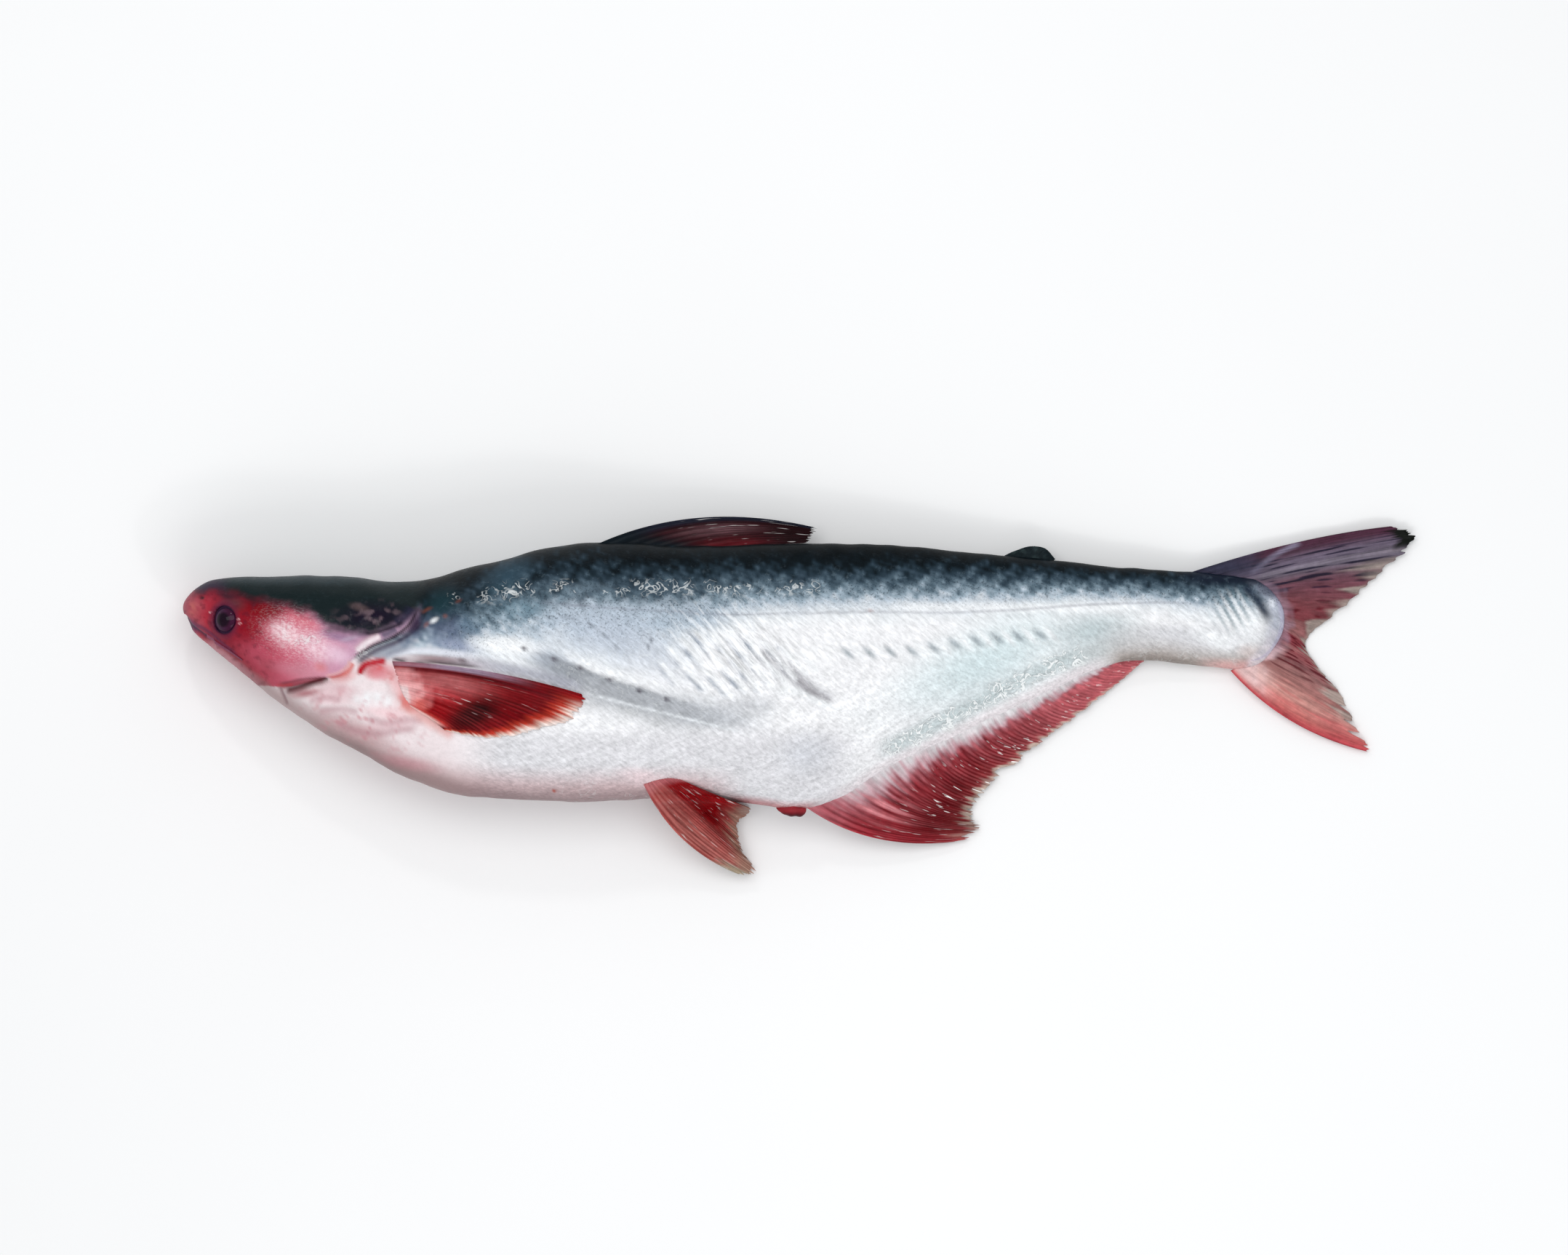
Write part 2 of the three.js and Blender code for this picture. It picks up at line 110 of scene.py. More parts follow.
# Lines on the skin.
GILL_LINE = [
    (111, 9), (109.4, 1.2), (104.5, -5.4), (98.3, -8.2), (90.6, -11), (85, -14.3), (78.4, -19.3),
    (76, -23), (73, -26), (66.3, -27.6), (58, -29.6), (51, -31.4), (45, -31.2),
]
UPPER_SLIT = [
    (109, 5), (107, 0.5), (104, -3.8), (100, -7), (96, -9.3), (92, -10.9), (88, -12.6), (85, -14.4),
    (81.5, -16.6), (79, -19.3),
]
LOWER_SLIT = [(67.5, -27.4), (65.5, -28), (62, -29), (58, -30.6), (54, -32.2), (50, -33.2), (47, -33)]
FLAP_LINE = [(102, -1.4), (99.5, -3), (96, -4.4), (92, -5.8), (88, -6.7), (84, -6.6)]
THROAT_LINE = [(45, -31), (46.5, -35), (48.5, -40)]
SHOULDER_RIDGE = [(93, -18.5), (97.3, -17.2), (104.7, -15.6), (113.3, -15.3), (123, -16.3), (135, -18)]
SHOULDER_CREASE = [(96.3, -18.3), (101, -19), (104.5, -20.4), (111, -20.3), (123, -20.6), (140, -22.5)]
BREAST_CREASES = [
    [(69, -47.6), (79, -51.3), (89, -53), (99, -51.6), (109, -50.4)],
    [(84, -45.6), (94, -47.7), (104, -46.3), (112, -47)],
    [(62, -43), (72, -41.6), (82, -43.5)],
    [(58, -38), (66, -36.4), (74, -37.8)],
]
KEEL_LINE = [
    (150, -11.5), (170.7, -17), (182.7, -21.5), (196, -26.8), (209.7, -31), (222, -35), (236, -38.5),
    (252, -40.5),
]
KEEL_SPOTS = [(157, -13), (170.7, -17.8), (182.7, -22), (196, -27.6), (209.7, -32.4), (222, -36.4)]
DENT_LINE = [(262, -15), (273, -21), (283, -28.5), (291, -35.5), (299, -39.5)]
DENT_FOLD = [(270, -34), (280, -33), (288, -36.6), (298, -40.5), (304, -40)]
SLIME_BAND = [(316, -63.5), (340, -51.3), (367, -37.6), (392, -25), (418, -13.5)]
LATERAL_LINE = [
    (150, 9), (180, 6), (213, 4), (250, 2), (316, 3), (349, 2.7), (383, 4), (415, 6.3), (450, 7.3),
    (476, 6.7),
]
SCRATCHES = [
    [(153, -0.7), (168, 0.5), (183, -0.7), (192, -6), (200, -14), (207, -19)],
    [(215, 8), (216.5, -2), (213, -16)],
    [(422, 17.7), (425, 12), (428, 5)],
    [(176, 18), (181, 10), (184, 4)],
]
CRESCENT_LINE = [(487, 15.5), (490.5, 12), (494.7, 6.5), (497.3, 1), (498.5, -5)]
NOSTRIL = (9, 9.5)
MOUTH_LINE = [(-2, 1.6), (1.2, 0.4), (3.2, -2.6), (6.5, -5.3), (10, -7.8), (14, -10.2)]
BARBEL_LINE = [(11.5, -7.6), (15, -10.4), (19, -12.8), (23.5, -15.8), (28, -19)]


def profile(stations):
    """A smooth curve through stations of (x, value), as a function of x."""
    xs, ys = np.array(stations, float).T
    gap = np.diff(xs)
    rise = np.diff(ys) / gap
    slope = np.empty_like(xs)
    slope[0], slope[-1] = rise[0], rise[-1]
    slope[1:-1] = (gap[1:] * rise[:-1] + gap[:-1] * rise[1:]) / (gap[1:] + gap[:-1])

    def at(x):
        i = np.clip(np.searchsorted(xs, x) - 1, 0, len(gap) - 1)
        t = np.clip((x - xs[i]) / gap[i], 0, 1)
        a = 1 - t
        ends = a * a * (1 + 2 * t) * ys[i] + t * t * (3 - 2 * t) * ys[i + 1]
        return ends + gap[i] * t * a * (a * slope[i] - t * slope[i + 1])

    return at


back = profile(BACK)
belly = profile(BELLY)
level = profile(LEVEL)
half_width = profile(HALF_WIDTH)
midplane = profile(MIDPLANE)
fullness_above = profile(FULLNESS_ABOVE)
fullness_below = profile(FULLNESS_BELOW)
dark_level = profile(DARK_LEVEL)
silver_level = profile(SILVER_LEVEL)
crown_edge = profile(CROWN_EDGE)


def curve(points):
    """A centripetal Catmull-Rom curve through points, as a function of the share u of its spans."""
    points = np.array(points, float)
    spans = len(points) - 1
    padded = np.vstack([2 * points[0] - points[1], points, 2 * points[-1] - points[-2]])

    def at(u):
        place = np.clip(u, 0, 1) * spans
        i = np.minimum(place.astype(int), spans - 1)
        w = (place - i)[..., None]
        p0, p1, p2, p3 = (padded[i + k] for k in range(4))
        d0, d1, d2 = (
            np.sqrt(np.linalg.norm(b - a, axis=-1, keepdims=True))
            for a, b in ((p0, p1), (p1, p2), (p2, p3))
        )
        t1 = ((p1 - p0) / d0 - (p2 - p0) / (d0 + d1) + (p2 - p1) / d1) * d1
        t2 = ((p2 - p1) / d1 - (p3 - p1) / (d1 + d2) + (p3 - p2) / d2) * d1
        return p1 + w * (t1 + w * (3 * (p2 - p1) - 2 * t1 - t2 + w * (2 * (p1 - p2) + t1 + t2)))

    return at


def bump(distance):
    """1 at distance 0, fading smoothly to 0 at distance 1 and beyond."""
    t = np.minimum(np.abs(distance), 1)
    return (1 - t * t) ** 2


def smooth(value, low, high):
    """0 at low, 1 at high and smooth between them. low may be the larger."""
    t = np.clip((value - low) / (high - low), 0, 1)
    return t * t * (3 - 2 * t)


def window(value, start, full, full_end, end):
    """0 up to start, 1 from full to full_end, and 0 again from end."""
    return smooth(value, start, full) * smooth(value, end, full_end)


def oval(x, y, cx, cy, rx, ry, degrees=0):
    """An oval bump round (cx, cy), turned by an angle."""
    a = np.radians(degrees)
    u = ((x - cx) * np.cos(a) + (y - cy) * np.sin(a)) / rx
    v = ((y - cy) * np.cos(a) - (x - cx) * np.sin(a)) / ry
    return bump(np.hypot(u, v))


def waves(x, y, size, seed):
    """Soft uneven waves, mostly between -1 and 1, with crests about size apart."""
    rng = np.random.default_rng(seed)
    total = 0
    count = 7
    for _ in range(count):
        angle = rng.uniform(0, 2 * np.pi)
        length = size * rng.uniform(0.6, 1.6)
        along = x * np.cos(angle) + y * np.sin(angle)
        total = total + np.sin(along * 2 * np.pi / length + rng.uniform(0, 2 * np.pi))
    return total / count**0.5


def beside(x, y, line):
    """The signed distance to a smooth line, positive on its left, and the share of it passed there."""
    steps = 5 * (len(line) - 1)
    track = curve(line)(np.linspace(0, 1, steps + 1))
    best = np.full(np.shape(x), 1e9)
    signed = np.zeros(np.shape(x))
    share = np.zeros(np.shape(x))
    for i, (a, b) in enumerate(zip(track[:-1], track[1:])):
        span = b - a
        t = np.clip(((x - a[0]) * span[0] + (y - a[1]) * span[1]) / (span @ span), 0, 1)
        distance = np.hypot(x - a[0] - t * span[0], y - a[1] - t * span[1])
        nearer = distance < best
        cross = span[0] * (y - a[1]) - span[1] * (x - a[0])
        best = np.where(nearer, distance, best)
        signed = np.where(nearer, np.where(cross >= 0, distance, -distance), signed)
        share = np.where(nearer, (i + t) / steps, share)
    return signed, share


def stroke(x, y, line, half):
    """1 on a line, fading to 0 at the distance half and towards its two ends."""
    distance, share = beside(x, y, line)
    return bump(distance / half) * window(share, 0, 0.12, 0.88, 1)


def section(x):
    """The widest level of the section at x, and its extents above and below it and sideways."""
    nose = np.sqrt(1 - (1 - np.minimum(x / NOSE_ROUND, 1)) ** 2)
    tail_share = np.maximum((x - BODY_LENGTH + TAIL_ROUND) / TAIL_ROUND, 0)
    ends = nose * np.sqrt(np.maximum(1 - tail_share**2, 0))
    y = level(x)
    return y, (back(x) - y) * ends, (y - belly(x)) * ends, half_width(x) * ends


def relief(x, y):
    """How far the skin stands out from the plain section, as in the solids."""
    along = (x - 165) / (248 - 165)
    under = -15.5 + along * (-39 + 15.5) - y
    fold = bump((along - 0.45) / 0.95) * np.where(under > 0, bump(under / 26), bump(under / 5))
    return (
        1.3 * oval(x, y, 72, -10, 34, 22, -25)
        + 1.6 * oval(x, y, 104, -29, 13, 16, 20)
        + 1.2 * oval(x, y, 120, -15, 28, 5, -8)
        - 1.7 * fold
        - 1.4 * oval(x, y, 286, -31, 22, 9, -34)
        - 1.0 * oval(x, y, 112, 4, 12, 12)
    )


def press(z):
    """The table presses the underside flat at z = 0."""
    pressed = np.where(z <= -PRESS_BLEND, 0, (z + PRESS_BLEND) ** 2 / (4 * PRESS_BLEND))
    return np.where(z >= PRESS_BLEND, z, pressed)


def skin_at(x, angle):
    """Unpressed points of the skin at an angle round the section: 0 is the upper flank, 90 the back."""
    x, angle = np.broadcast_arrays(x, angle)
    y0, above, below, width = section(x)
    up, out = np.sin(angle), np.cos(angle)
    power = 2 / np.where(up >= 0, fullness_above(x), fullness_below(x))
    y = y0 + np.sign(up) * np.abs(up) ** power * np.where(up >= 0, above, below)
    reach = np.abs(out) ** power * (width + relief(x, y) * np.abs(out))
    return np.stack([x, y, midplane(x) + np.sign(out) * reach], axis=-1)


def skin_over(x, y, side):
    """Points of the skin over (x, y) of the side view. side is 1 for the upper flank, -1 below."""
    y0, above, below, width = section(x)
    high = y >= y0
    share = np.where(high, (y - y0) / above, (y0 - y) / below)
    power = np.where(high, fullness_above(x), fullness_below(x))
    out = (1 - np.minimum(share, 0.995) ** power) ** (1 / power)
    z = press(midplane(x) + side * out * (width + relief(x, y)))
    return np.stack([x + 0 * z, y + 0 * z, z], axis=-1)


def skin_normal(x, y, side):
    step = 0.5
    along_x = skin_over(x + step, y, side) - skin_over(x - step, y, side)
    along_y = skin_over(x, y + step, side) - skin_over(x, y - step, side)
    normal = np.cross(along_x, along_y)
    return side * normal / np.linalg.norm(normal, axis=-1, keepdims=True)


def eye_place(side):
    """The centre of an eyeball and the direction that it looks in."""
    x, y = np.array(float(EYE["x"])), np.array(float(EYE["y"]))
    normal = skin_normal(x, y, side)
    return skin_over(x, y, side) - EYE["sunk"] * normal, normal


def frame_offset():
    """From the fish's own frame to the row's: the middle of the left eyeball is known in both."""
    low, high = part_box("eye_left")
    middle = (low + high) / 2 / MM
    own, _ = eye_place(1)
    return np.array([middle.x - own[0], middle.y - own[1], 0])


OFFSET = frame_offset()


def to_row(points):
    return (np.asarray(points, float) + OFFSET) * MM


def srgb(colour):
    """A colour given as 0 to 255 on a screen, as linear light."""
    c = np.array(colour) / 255
    return np.where(c <= 0.04045, c / 12.92, ((c + 0.055) / 1.055) ** 2.4)


# Colours as 0 to 255 on a screen.
WHITE = (250, 252, 254)
PEARL = (222, 221, 225)
CYAN_WHITE = (212, 229, 232)
HEAD_DARK = (26, 32, 37)
ROSE = (206, 124, 138)
PINK_WHITE = (250, 212, 218)
SNOUT_PURPLE = (84, 44, 92)
# Painted shade along the throat's outline.
THROAT_EDGE_SHADE = (166, 138, 138)
SCAR_ORANGE = (150, 76, 50)
LINE_GREY = (118, 116, 130)


class Paint:
    """Colours laid over one another on a surface whose points have the coordinates x and y."""

    def __init__(self, base, x, y):
        self.x, self.y = x, y
        one_colour = np.ndim(base) == 1
        self.tint = np.broadcast_to(srgb(base), (*np.shape(x), 3)) if one_colour else base

    def blend(self, tint, cover):
        """Lays linear colours over the points, as far as cover says from 0 to 1."""
        cover = np.clip(cover, 0, 1)[..., None]
        self.tint = self.tint + (tint - self.tint) * cover

    def over(self, colour, cover):
        self.blend(srgb(colour), cover)

    def spot(self, colour, strength, *shape):
        """Lays a colour over an oval of (middle x, middle y, half length, half height, turn)."""
        self.over(colour, strength * oval(self.x, self.y, *shape))

    def line(self, colour, strength, points, half):
        """Lays a colour along a line that is 2 * half wide."""
        self.over(colour, strength * stroke(self.x, self.y, points, half))


def blend_of(t, stops):
    """Linear colours along t from stops of (place, red, green, blue)."""
    places = [stop[0] for stop in stops]
    tones = [srgb(stop[1:]) for stop in stops]
    return np.stack([np.interp(t, places, [tone[k] for tone in tones]) for k in range(3)], axis=-1)


def myomere_dents():
    """The row of slanted hollows between the muscle blocks of the rear flank."""
    first, spacing, count = 305, 9.8, 10
    for i in range(count):
        x = first + i * spacing
        yield x, np.interp(x, [303, 335, 360, 400], [-16, -15, -10.5, -7])


def rib_lines():
    """The folds that the ribs press into the flank, each from its top to its lower end."""
    first, spacing, count = 206.5, 7.4, 10
    for i in range(count):
        top_y = np.interp(i, [0, 1, 3, 6, 9], [-20, -12, -3.5, -6, -15])
        low_y = np.interp(i, [0, 2, 4, 9], [-31, -38, -36, -25])
        x = first + i * spacing - 0.5 * top_y
        slope = 0.86
        yield [
            (x, top_y),
            (x + slope * 0.45 * (top_y - low_y), 0.5 * (top_y + low_y) + 0.6),
            (x + slope * (top_y - low_y), low_y),
        ]


def flesh_end(y):
    """Where the flesh ends in the tail, at a height."""
    return BODY_LENGTH - TAIL_ROUND + TAIL_ROUND * np.sqrt(np.maximum(1 - ((y + 1) / 18.5) ** 2, 0))


def detail(x, y):
    """Fine relief of the skin in millimetres outward, the same on both flanks."""
    gill, gill_share = beside(x, y, GILL_LINE)
    gill_ends = window(gill_share, 0, 0.08, 0.9, 1)
    behind = smooth(gill, -0.9, 0.9)
    cover_lip = (1 - behind) * bump(gill / 10)
    cleft = -1.6 * bump((gill - 0.9) / 2.2)
    ridge, ridge_share = beside(x, y, SHOULDER_RIDGE)
    ridge_ends = window(ridge_share, 0, 0.15, 0.7, 1)
    keel, keel_share = beside(x, y, KEEL_LINE)
    keel_ends = window(keel_share, 0, 0.25, 0.7, 1)
    keel_step = 0.9 * bump((keel - 2) / 5) - 0.8 * bump((keel + 4) / 5)
    muscle = np.sin((x + 0.45 * y) * 2 * np.pi / 4.3)
    total = (
        (cover_lip + cleft) * gill_ends
        + 1.4 * bump(ridge / 2.6) * ridge_ends
        + keel_step * keel_ends
        + 0.22 * muscle * oval(x, y, 479, 3, 18, 17)
        - 1.1 * bump(beside(x, y, MOUTH_LINE)[0] / 1.5)
        + 0.22 * waves(x, y, 34, 11)
        + 0.12 * waves(x, y, 13, 12)
        + 0.5 * waves(x, y, 9, 13) * oval(x, y, 98, -30, 13, 12)
        - 0.35 * waves(x, y, 11, 14) * oval(x, y, 90, 2, 24, 10, 10)
        + 1.2 * oval(x, y, 86, -22, 9, 4, 30)
        - 0.8 * oval(x, y, *NOSTRIL, 1.7, 1.2)
    )
    grooves = [
        (FLAP_LINE, 0.6, 2.2), (LOWER_SLIT, 0.5, 2.4), (THROAT_LINE, 0.6, 2), (SHOULDER_CREASE, 1.6, 1.8),
        (DENT_LINE, 0.7, 5.5), (DENT_FOLD, -0.7, 2.6), (LATERAL_LINE, 0.25, 1.4), (CRESCENT_LINE, 0.6, 2.6),
        *((line, 0.4, 2.8) for line in BREAST_CREASES),
    ]
    for line, depth, half in grooves:
        total = total - depth * stroke(x, y, line, half)
    for line in rib_lines():
        total = total - 0.5 * stroke(x, y, line, 1.8) + 0.3 * stroke(x - 2.6, y, line, 2.4)
    for cx, cy in KEEL_SPOTS:
        total = total - 0.8 * oval(x, y, cx, cy - 0.5, 2.6, 2)
        total = total + 0.6 * oval(x, y, cx + 3, cy + 1.6, 3.4, 2.4)
    for cx, cy in myomere_dents():
        total = total - 0.6 * oval(x, y, cx, cy, 5.5, 2.4, -42)
    return total


def paint_ground(x, y):
    """Blue-black back, silver flank and white belly."""
    dark, silver = dark_level(x), silver_level(x)
    t = (y - silver) / (dark - silver)
    mottle = 0.1 * smooth(t, 0, 0.3)
    t = t + 0.05 * waves(x, y, 24, 21) + (0.03 + mottle) * waves(x, y, 7, 22)
    t = t + (0.03 + 0.6 * mottle) * waves(x, y, 3, 23)
    stops = [
        (-0.7, 247, 247, 249), (-0.35, 238, 241, 244), (-0.12, 224, 230, 236), (0, 208, 216, 224),
        (0.1, 190, 202, 213), (0.22, 158, 175, 188), (0.4, 122, 141, 154), (0.6, 82, 101, 114),
        (0.8, 54, 71, 84), (1, 30, 45, 55), (1.2, 12, 22, 28), (1.6, 4, 11, 15),
    ]
    paint = Paint(blend_of(t, stops), x, y)
    paint.spot((92, 100, 130), 0.65, 122, -5, 22, 11, -12)
    paint.spot((140, 148, 180), 0.6, 126, -12.5, 18, 5, -8)
    paint.spot((54, 80, 96), 0.75, 149, 20, 18, 9, 24)
    paint.spot((48, 76, 90), 0.6, 147, 14, 14, 4, 18)
    paint.spot((116, 146, 162), 0.6, 158, 4, 20, 7)
    paint.spot((14, 34, 44), 0.7, 123, 12, 9, 6, 30)
    plateau = window(x, 160, 178, 236, 258)
    ragged = smooth(y + 1.5 * waves(x, y, 6, 60), 10.5, 4)
    paint.over((184, 197, 210), 0.85 * plateau * ragged * smooth(y, -8, 0))
    paint.spot((110, 128, 142), 0.5, 186, 13, 18, 5)
    paint.spot((70, 88, 102), 0.8, 222, 13.5, 26, 5)
    # painted shade: darker along the back's top edge, where the back turns away
    paint.spot((0, 5, 9), 0.8, 216, 28, 34, 5)
    return paint


def paint_flank(paint):
    """Silver tones, painted highlights and painted shade, the ribs and their keel, dents and thin lines of
    the flank.
    """
    x, y = paint.x, paint.y
    rear = smooth(x, 118, 150)
    paint.spot((194, 204, 218), 0.85, 196, -8, 44, 18, -12)
    paint.spot((204, 210, 221), 0.5, 216, -18, 34, 14, -24)
    # painted shade under the shoulder, above the pectoral fin
    paint.spot((168, 178, 192), 0.9, 170, -20, 18, 9, -24)
    # painted highlight: the broad bright patch high on the flank
    paint.spot(WHITE, 1.3, 149, -12.5, 23, 6.5, -5)
    keel, keel_share = beside(x, y, KEEL_LINE)
    below_keel = smooth(keel, 0.5, -1.5) * smooth(keel, -22, -4)
    keel_tone = blend_of(keel_share, [(0, 150, 154, 162), (0.6, 150, 155, 160), (1, 196, 198, 204)])
    paint.blend(keel_tone, 0.95 * below_keel * window(keel_share, 0.02, 0.2, 0.8, 1))
    above_keel = bump((keel - 2.2) / 3.4) * (0.6 + 0.5 * waves(x, y, 5, 24))
    paint.over(WHITE, 0.85 * above_keel * window(keel_share, 0.1, 0.3, 0.8, 1))
    paint.spot((190, 194, 200), 0.8, 246, -46, 30, 8, -8)
    paint.spot((172, 175, 180), 0.85, 234, -44, 22, 6, -14)
    under_keel = [(180, -30), (210, -36), (240, -40), (278, -40)]
    paint.line((182, 185, 191), 0.6, under_keel, 9)
    # painted shadow above the pectoral fin's spine
    shadow_above_fin = [(116, -18.5), (134, -20.5), (152, -23.5), (170, -28), (186, -33)]
    paint.line((166, 168, 180), 0.85, shadow_above_fin, 5)
    paint.over(PEARL, 0.9 * rear * smooth(y, -46, -58) * smooth(x, 316, 296))
    paint.spot((206, 210, 218), 0.5, 286, -62, 20, 14, 10)
    paint.spot(CYAN_WHITE, 0.9, 368, -20, 66, 24, 24)
    paint.spot((192, 205, 208), 0.95, 418, -6, 30, 14, 10)
    paint.spot((190, 197, 198), 0.8, 418, -16, 22, 8, 24)
    paint.spot(WHITE, 0.8, 316, -46, 20, 16)
    # painted shade: a darker band under the slime glints, for the shaded sides of the ripples
    paint.line((196, 209, 211), 0.85, SLIME_BAND, 7)
    paint.over((246, 248, 250), 0.8 * bump((y - 5) / 3.6) * window(x, 318, 340, 425, 446))
    # painted shade in the dent's hollow and a painted highlight on the fold beside it
    paint.line((172, 172, 178), 0.85, DENT_LINE, 6)
    paint.line((136, 128, 132), 0.4, DENT_LINE, 2.8)
    paint.line(WHITE, 1, DENT_FOLD, 2.8)
    # painted highlight on each rib's raised side and painted shade in its fold
    for line in rib_lines():
        paint.over(WHITE, 0.85 * stroke(x - 2.3, y, line, 2.2))
        strength = (0.45 + 0.5 * waves(x, y, 14, 25)) * smooth(x, 286, 256)
        paint.line((160, 168, 180), strength, line, 1.7)
    # painted shade in each dent and a painted highlight on its rim
    for cx, cy in myomere_dents():
        paint.spot((146, 157, 164), 0.8, cx, cy, 6.2, 2.2, -42)
        paint.spot(WHITE, 0.8, cx + 4.6, cy + 0.6, 8, 2, -48)
    paint.line(LINE_GREY, 0.35, LATERAL_LINE, 1)
    for line in SCRATCHES:
        paint.line((76, 82, 94), 0.3 + 0.4 * waves(x, y, 7, 65), line, 0.9)
    paint.line((236, 240, 244), 0.8, [(184, -34), (208, -40), (234, -46.5), (258, -52.5)], 1)
    for cx, cy in KEEL_SPOTS:
        paint.spot((70, 60, 74), 0.9, cx, cy - 0.6, 2.4, 1.6, -20)
    paint.spot(SCAR_ORANGE, 0.5, 315, 3.6, 2.2, 1)


def paint_belly(paint):
    """Pink and brown painted shade towards the outline of the belly and the throat, tones of the breast and
    the throat, and a painted shadow under the pelvic fin's root.
    """
    x, y = paint.x, paint.y
    over = y - belly(x)
    behind_head = smooth(x, 50, 80)
    paint.over((243, 228, 230), 0.9 * smooth(x, 150, 115) * smooth(y, -14, -22))
    # painted shade: pink and brown darkening towards the belly's outline, where the belly turns away
    paint.over((206, 178, 180), 0.9 * smooth(over, 18, 5) * smooth(x, 262, 235) * behind_head)
    paint.over((136, 112, 114), 0.9 * smooth(over, 9, -1) * smooth(x, 276, 230) * behind_head)
    paint.over((126, 98, 102), 0.6 * smooth(over, 9, 0) * oval(x, y, 116, -76, 50, 14, -10))
    paint.over(THROAT_EDGE_SHADE, 0.85 * smooth(over, 13, 2) * smooth(x, 150, 110))
    paint.over((132, 106, 107), 0.6 * smooth(over, 6, 1) * window(x, 56, 84, 88, 126))
    paint.spot((206, 168, 171), 0.75, 80, -51, 30, 7, -22)
    paint.spot((226, 192, 197), 0.85, 72, -33, 18, 7, -16)
    paint.spot((226, 140, 142), 0.6, 76, -26.5, 8, 4, 20)
    paint.spot((250, 214, 218), 0.8, 95, -43, 18, 6, -10)
    paint.spot(ROSE, 0.35, 96, -49.5, 22, 4, 4)
    paint.spot(ROSE, 0.4, 104, -66, 22, 5, -12)
    paint.spot(WHITE, 0.95 * (0.85 + 0.4 * waves(x, y, 6, 51)), 88, -37, 14, 5, -6)
    paint.spot(PINK_WHITE, 0.6, 66, -36, 14, 5, -14)
    blush = smooth(waves(x, y, 9, 53) + 0.5 * waves(x, y, 3.5, 54), 0.2, 1.6)
    paint.spot((206, 132, 142), 0.7 * blush, 84, -46, 44, 18, -20)
    for line in BREAST_CREASES:
        paint.line((190, 142, 150), 0.5, line, 2.6)
    paint.spot((236, 214, 218), 0.8, 211, -73, 16, 6, -12)
    paint.over((176, 66, 72), 0.75 * smooth(over, 5, 0) * window(x, 246, 258, 284, 296))
    # painted shadow under the pelvic fin's root
    paint.spot((150, 84, 86), 0.7, 224, -77, 14, 5, 4)
    paint.over((232, 220, 224), 0.6 * smooth(over, 7, 1) * window(x, 290, 304, 416, 428))
    paint.spot((176, 64, 40), 1, 170.7, -78.6, 1.7, 1.1, 40)


def paint_fin_base(paint):
    """Flesh round the root of the pectoral fin, a painted highlight along the fold over it and painted
    shade in the crease under the fold.
    """
    x, y = paint.x, paint.y
    paint.spot((218, 134, 143), 0.9, 91, -23.5, 12, 6.5, -14)
    paint.spot((228, 166, 168), 0.75, 101, -30, 8, 11, 10)
    paint.spot((212, 92, 98), 0.7, 89, -24, 7, 4.5, 10)
    paint.spot((226, 150, 152), 0.85 * (0.7 + 0.5 * waves(x, y, 4, 56)), 96, -26, 5, 6)
    paint.spot((222, 140, 138), 0.8 * (0.7 + 0.5 * waves(x, y, 4, 59)), 103, -38, 6, 7, 30)
    paint.spot((120, 8, 22), 0.7, 83.8, -23, 2.6, 1.8, 30)
    paint.line((228, 168, 164), 0.8, [(100, -38), (108, -43), (117, -48.5), (126, -54)], 4.5)
    paint.spot((220, 84, 84), 0.8, 91.3, -22.8, 2.4, 1.8, 20)
    paint.spot((220, 104, 98), 0.8, 105, -37.5, 8, 6.5, -40)
    paint.spot((170, 142, 146), 0.85, 116, -18.3, 17, 2.6, -4)
    paint.spot((84, 58, 66), 0.7, 129, -19.2, 4, 1.8, -20)
    # painted highlight along the shoulder's fold and painted shade in the crease under it
    paint.over((232, 234, 244), 0.85 * stroke(x, y - 0.8, SHOULDER_RIDGE, 2))
    paint.line((54, 34, 44), 0.85, SHOULDER_CREASE, 0.9)


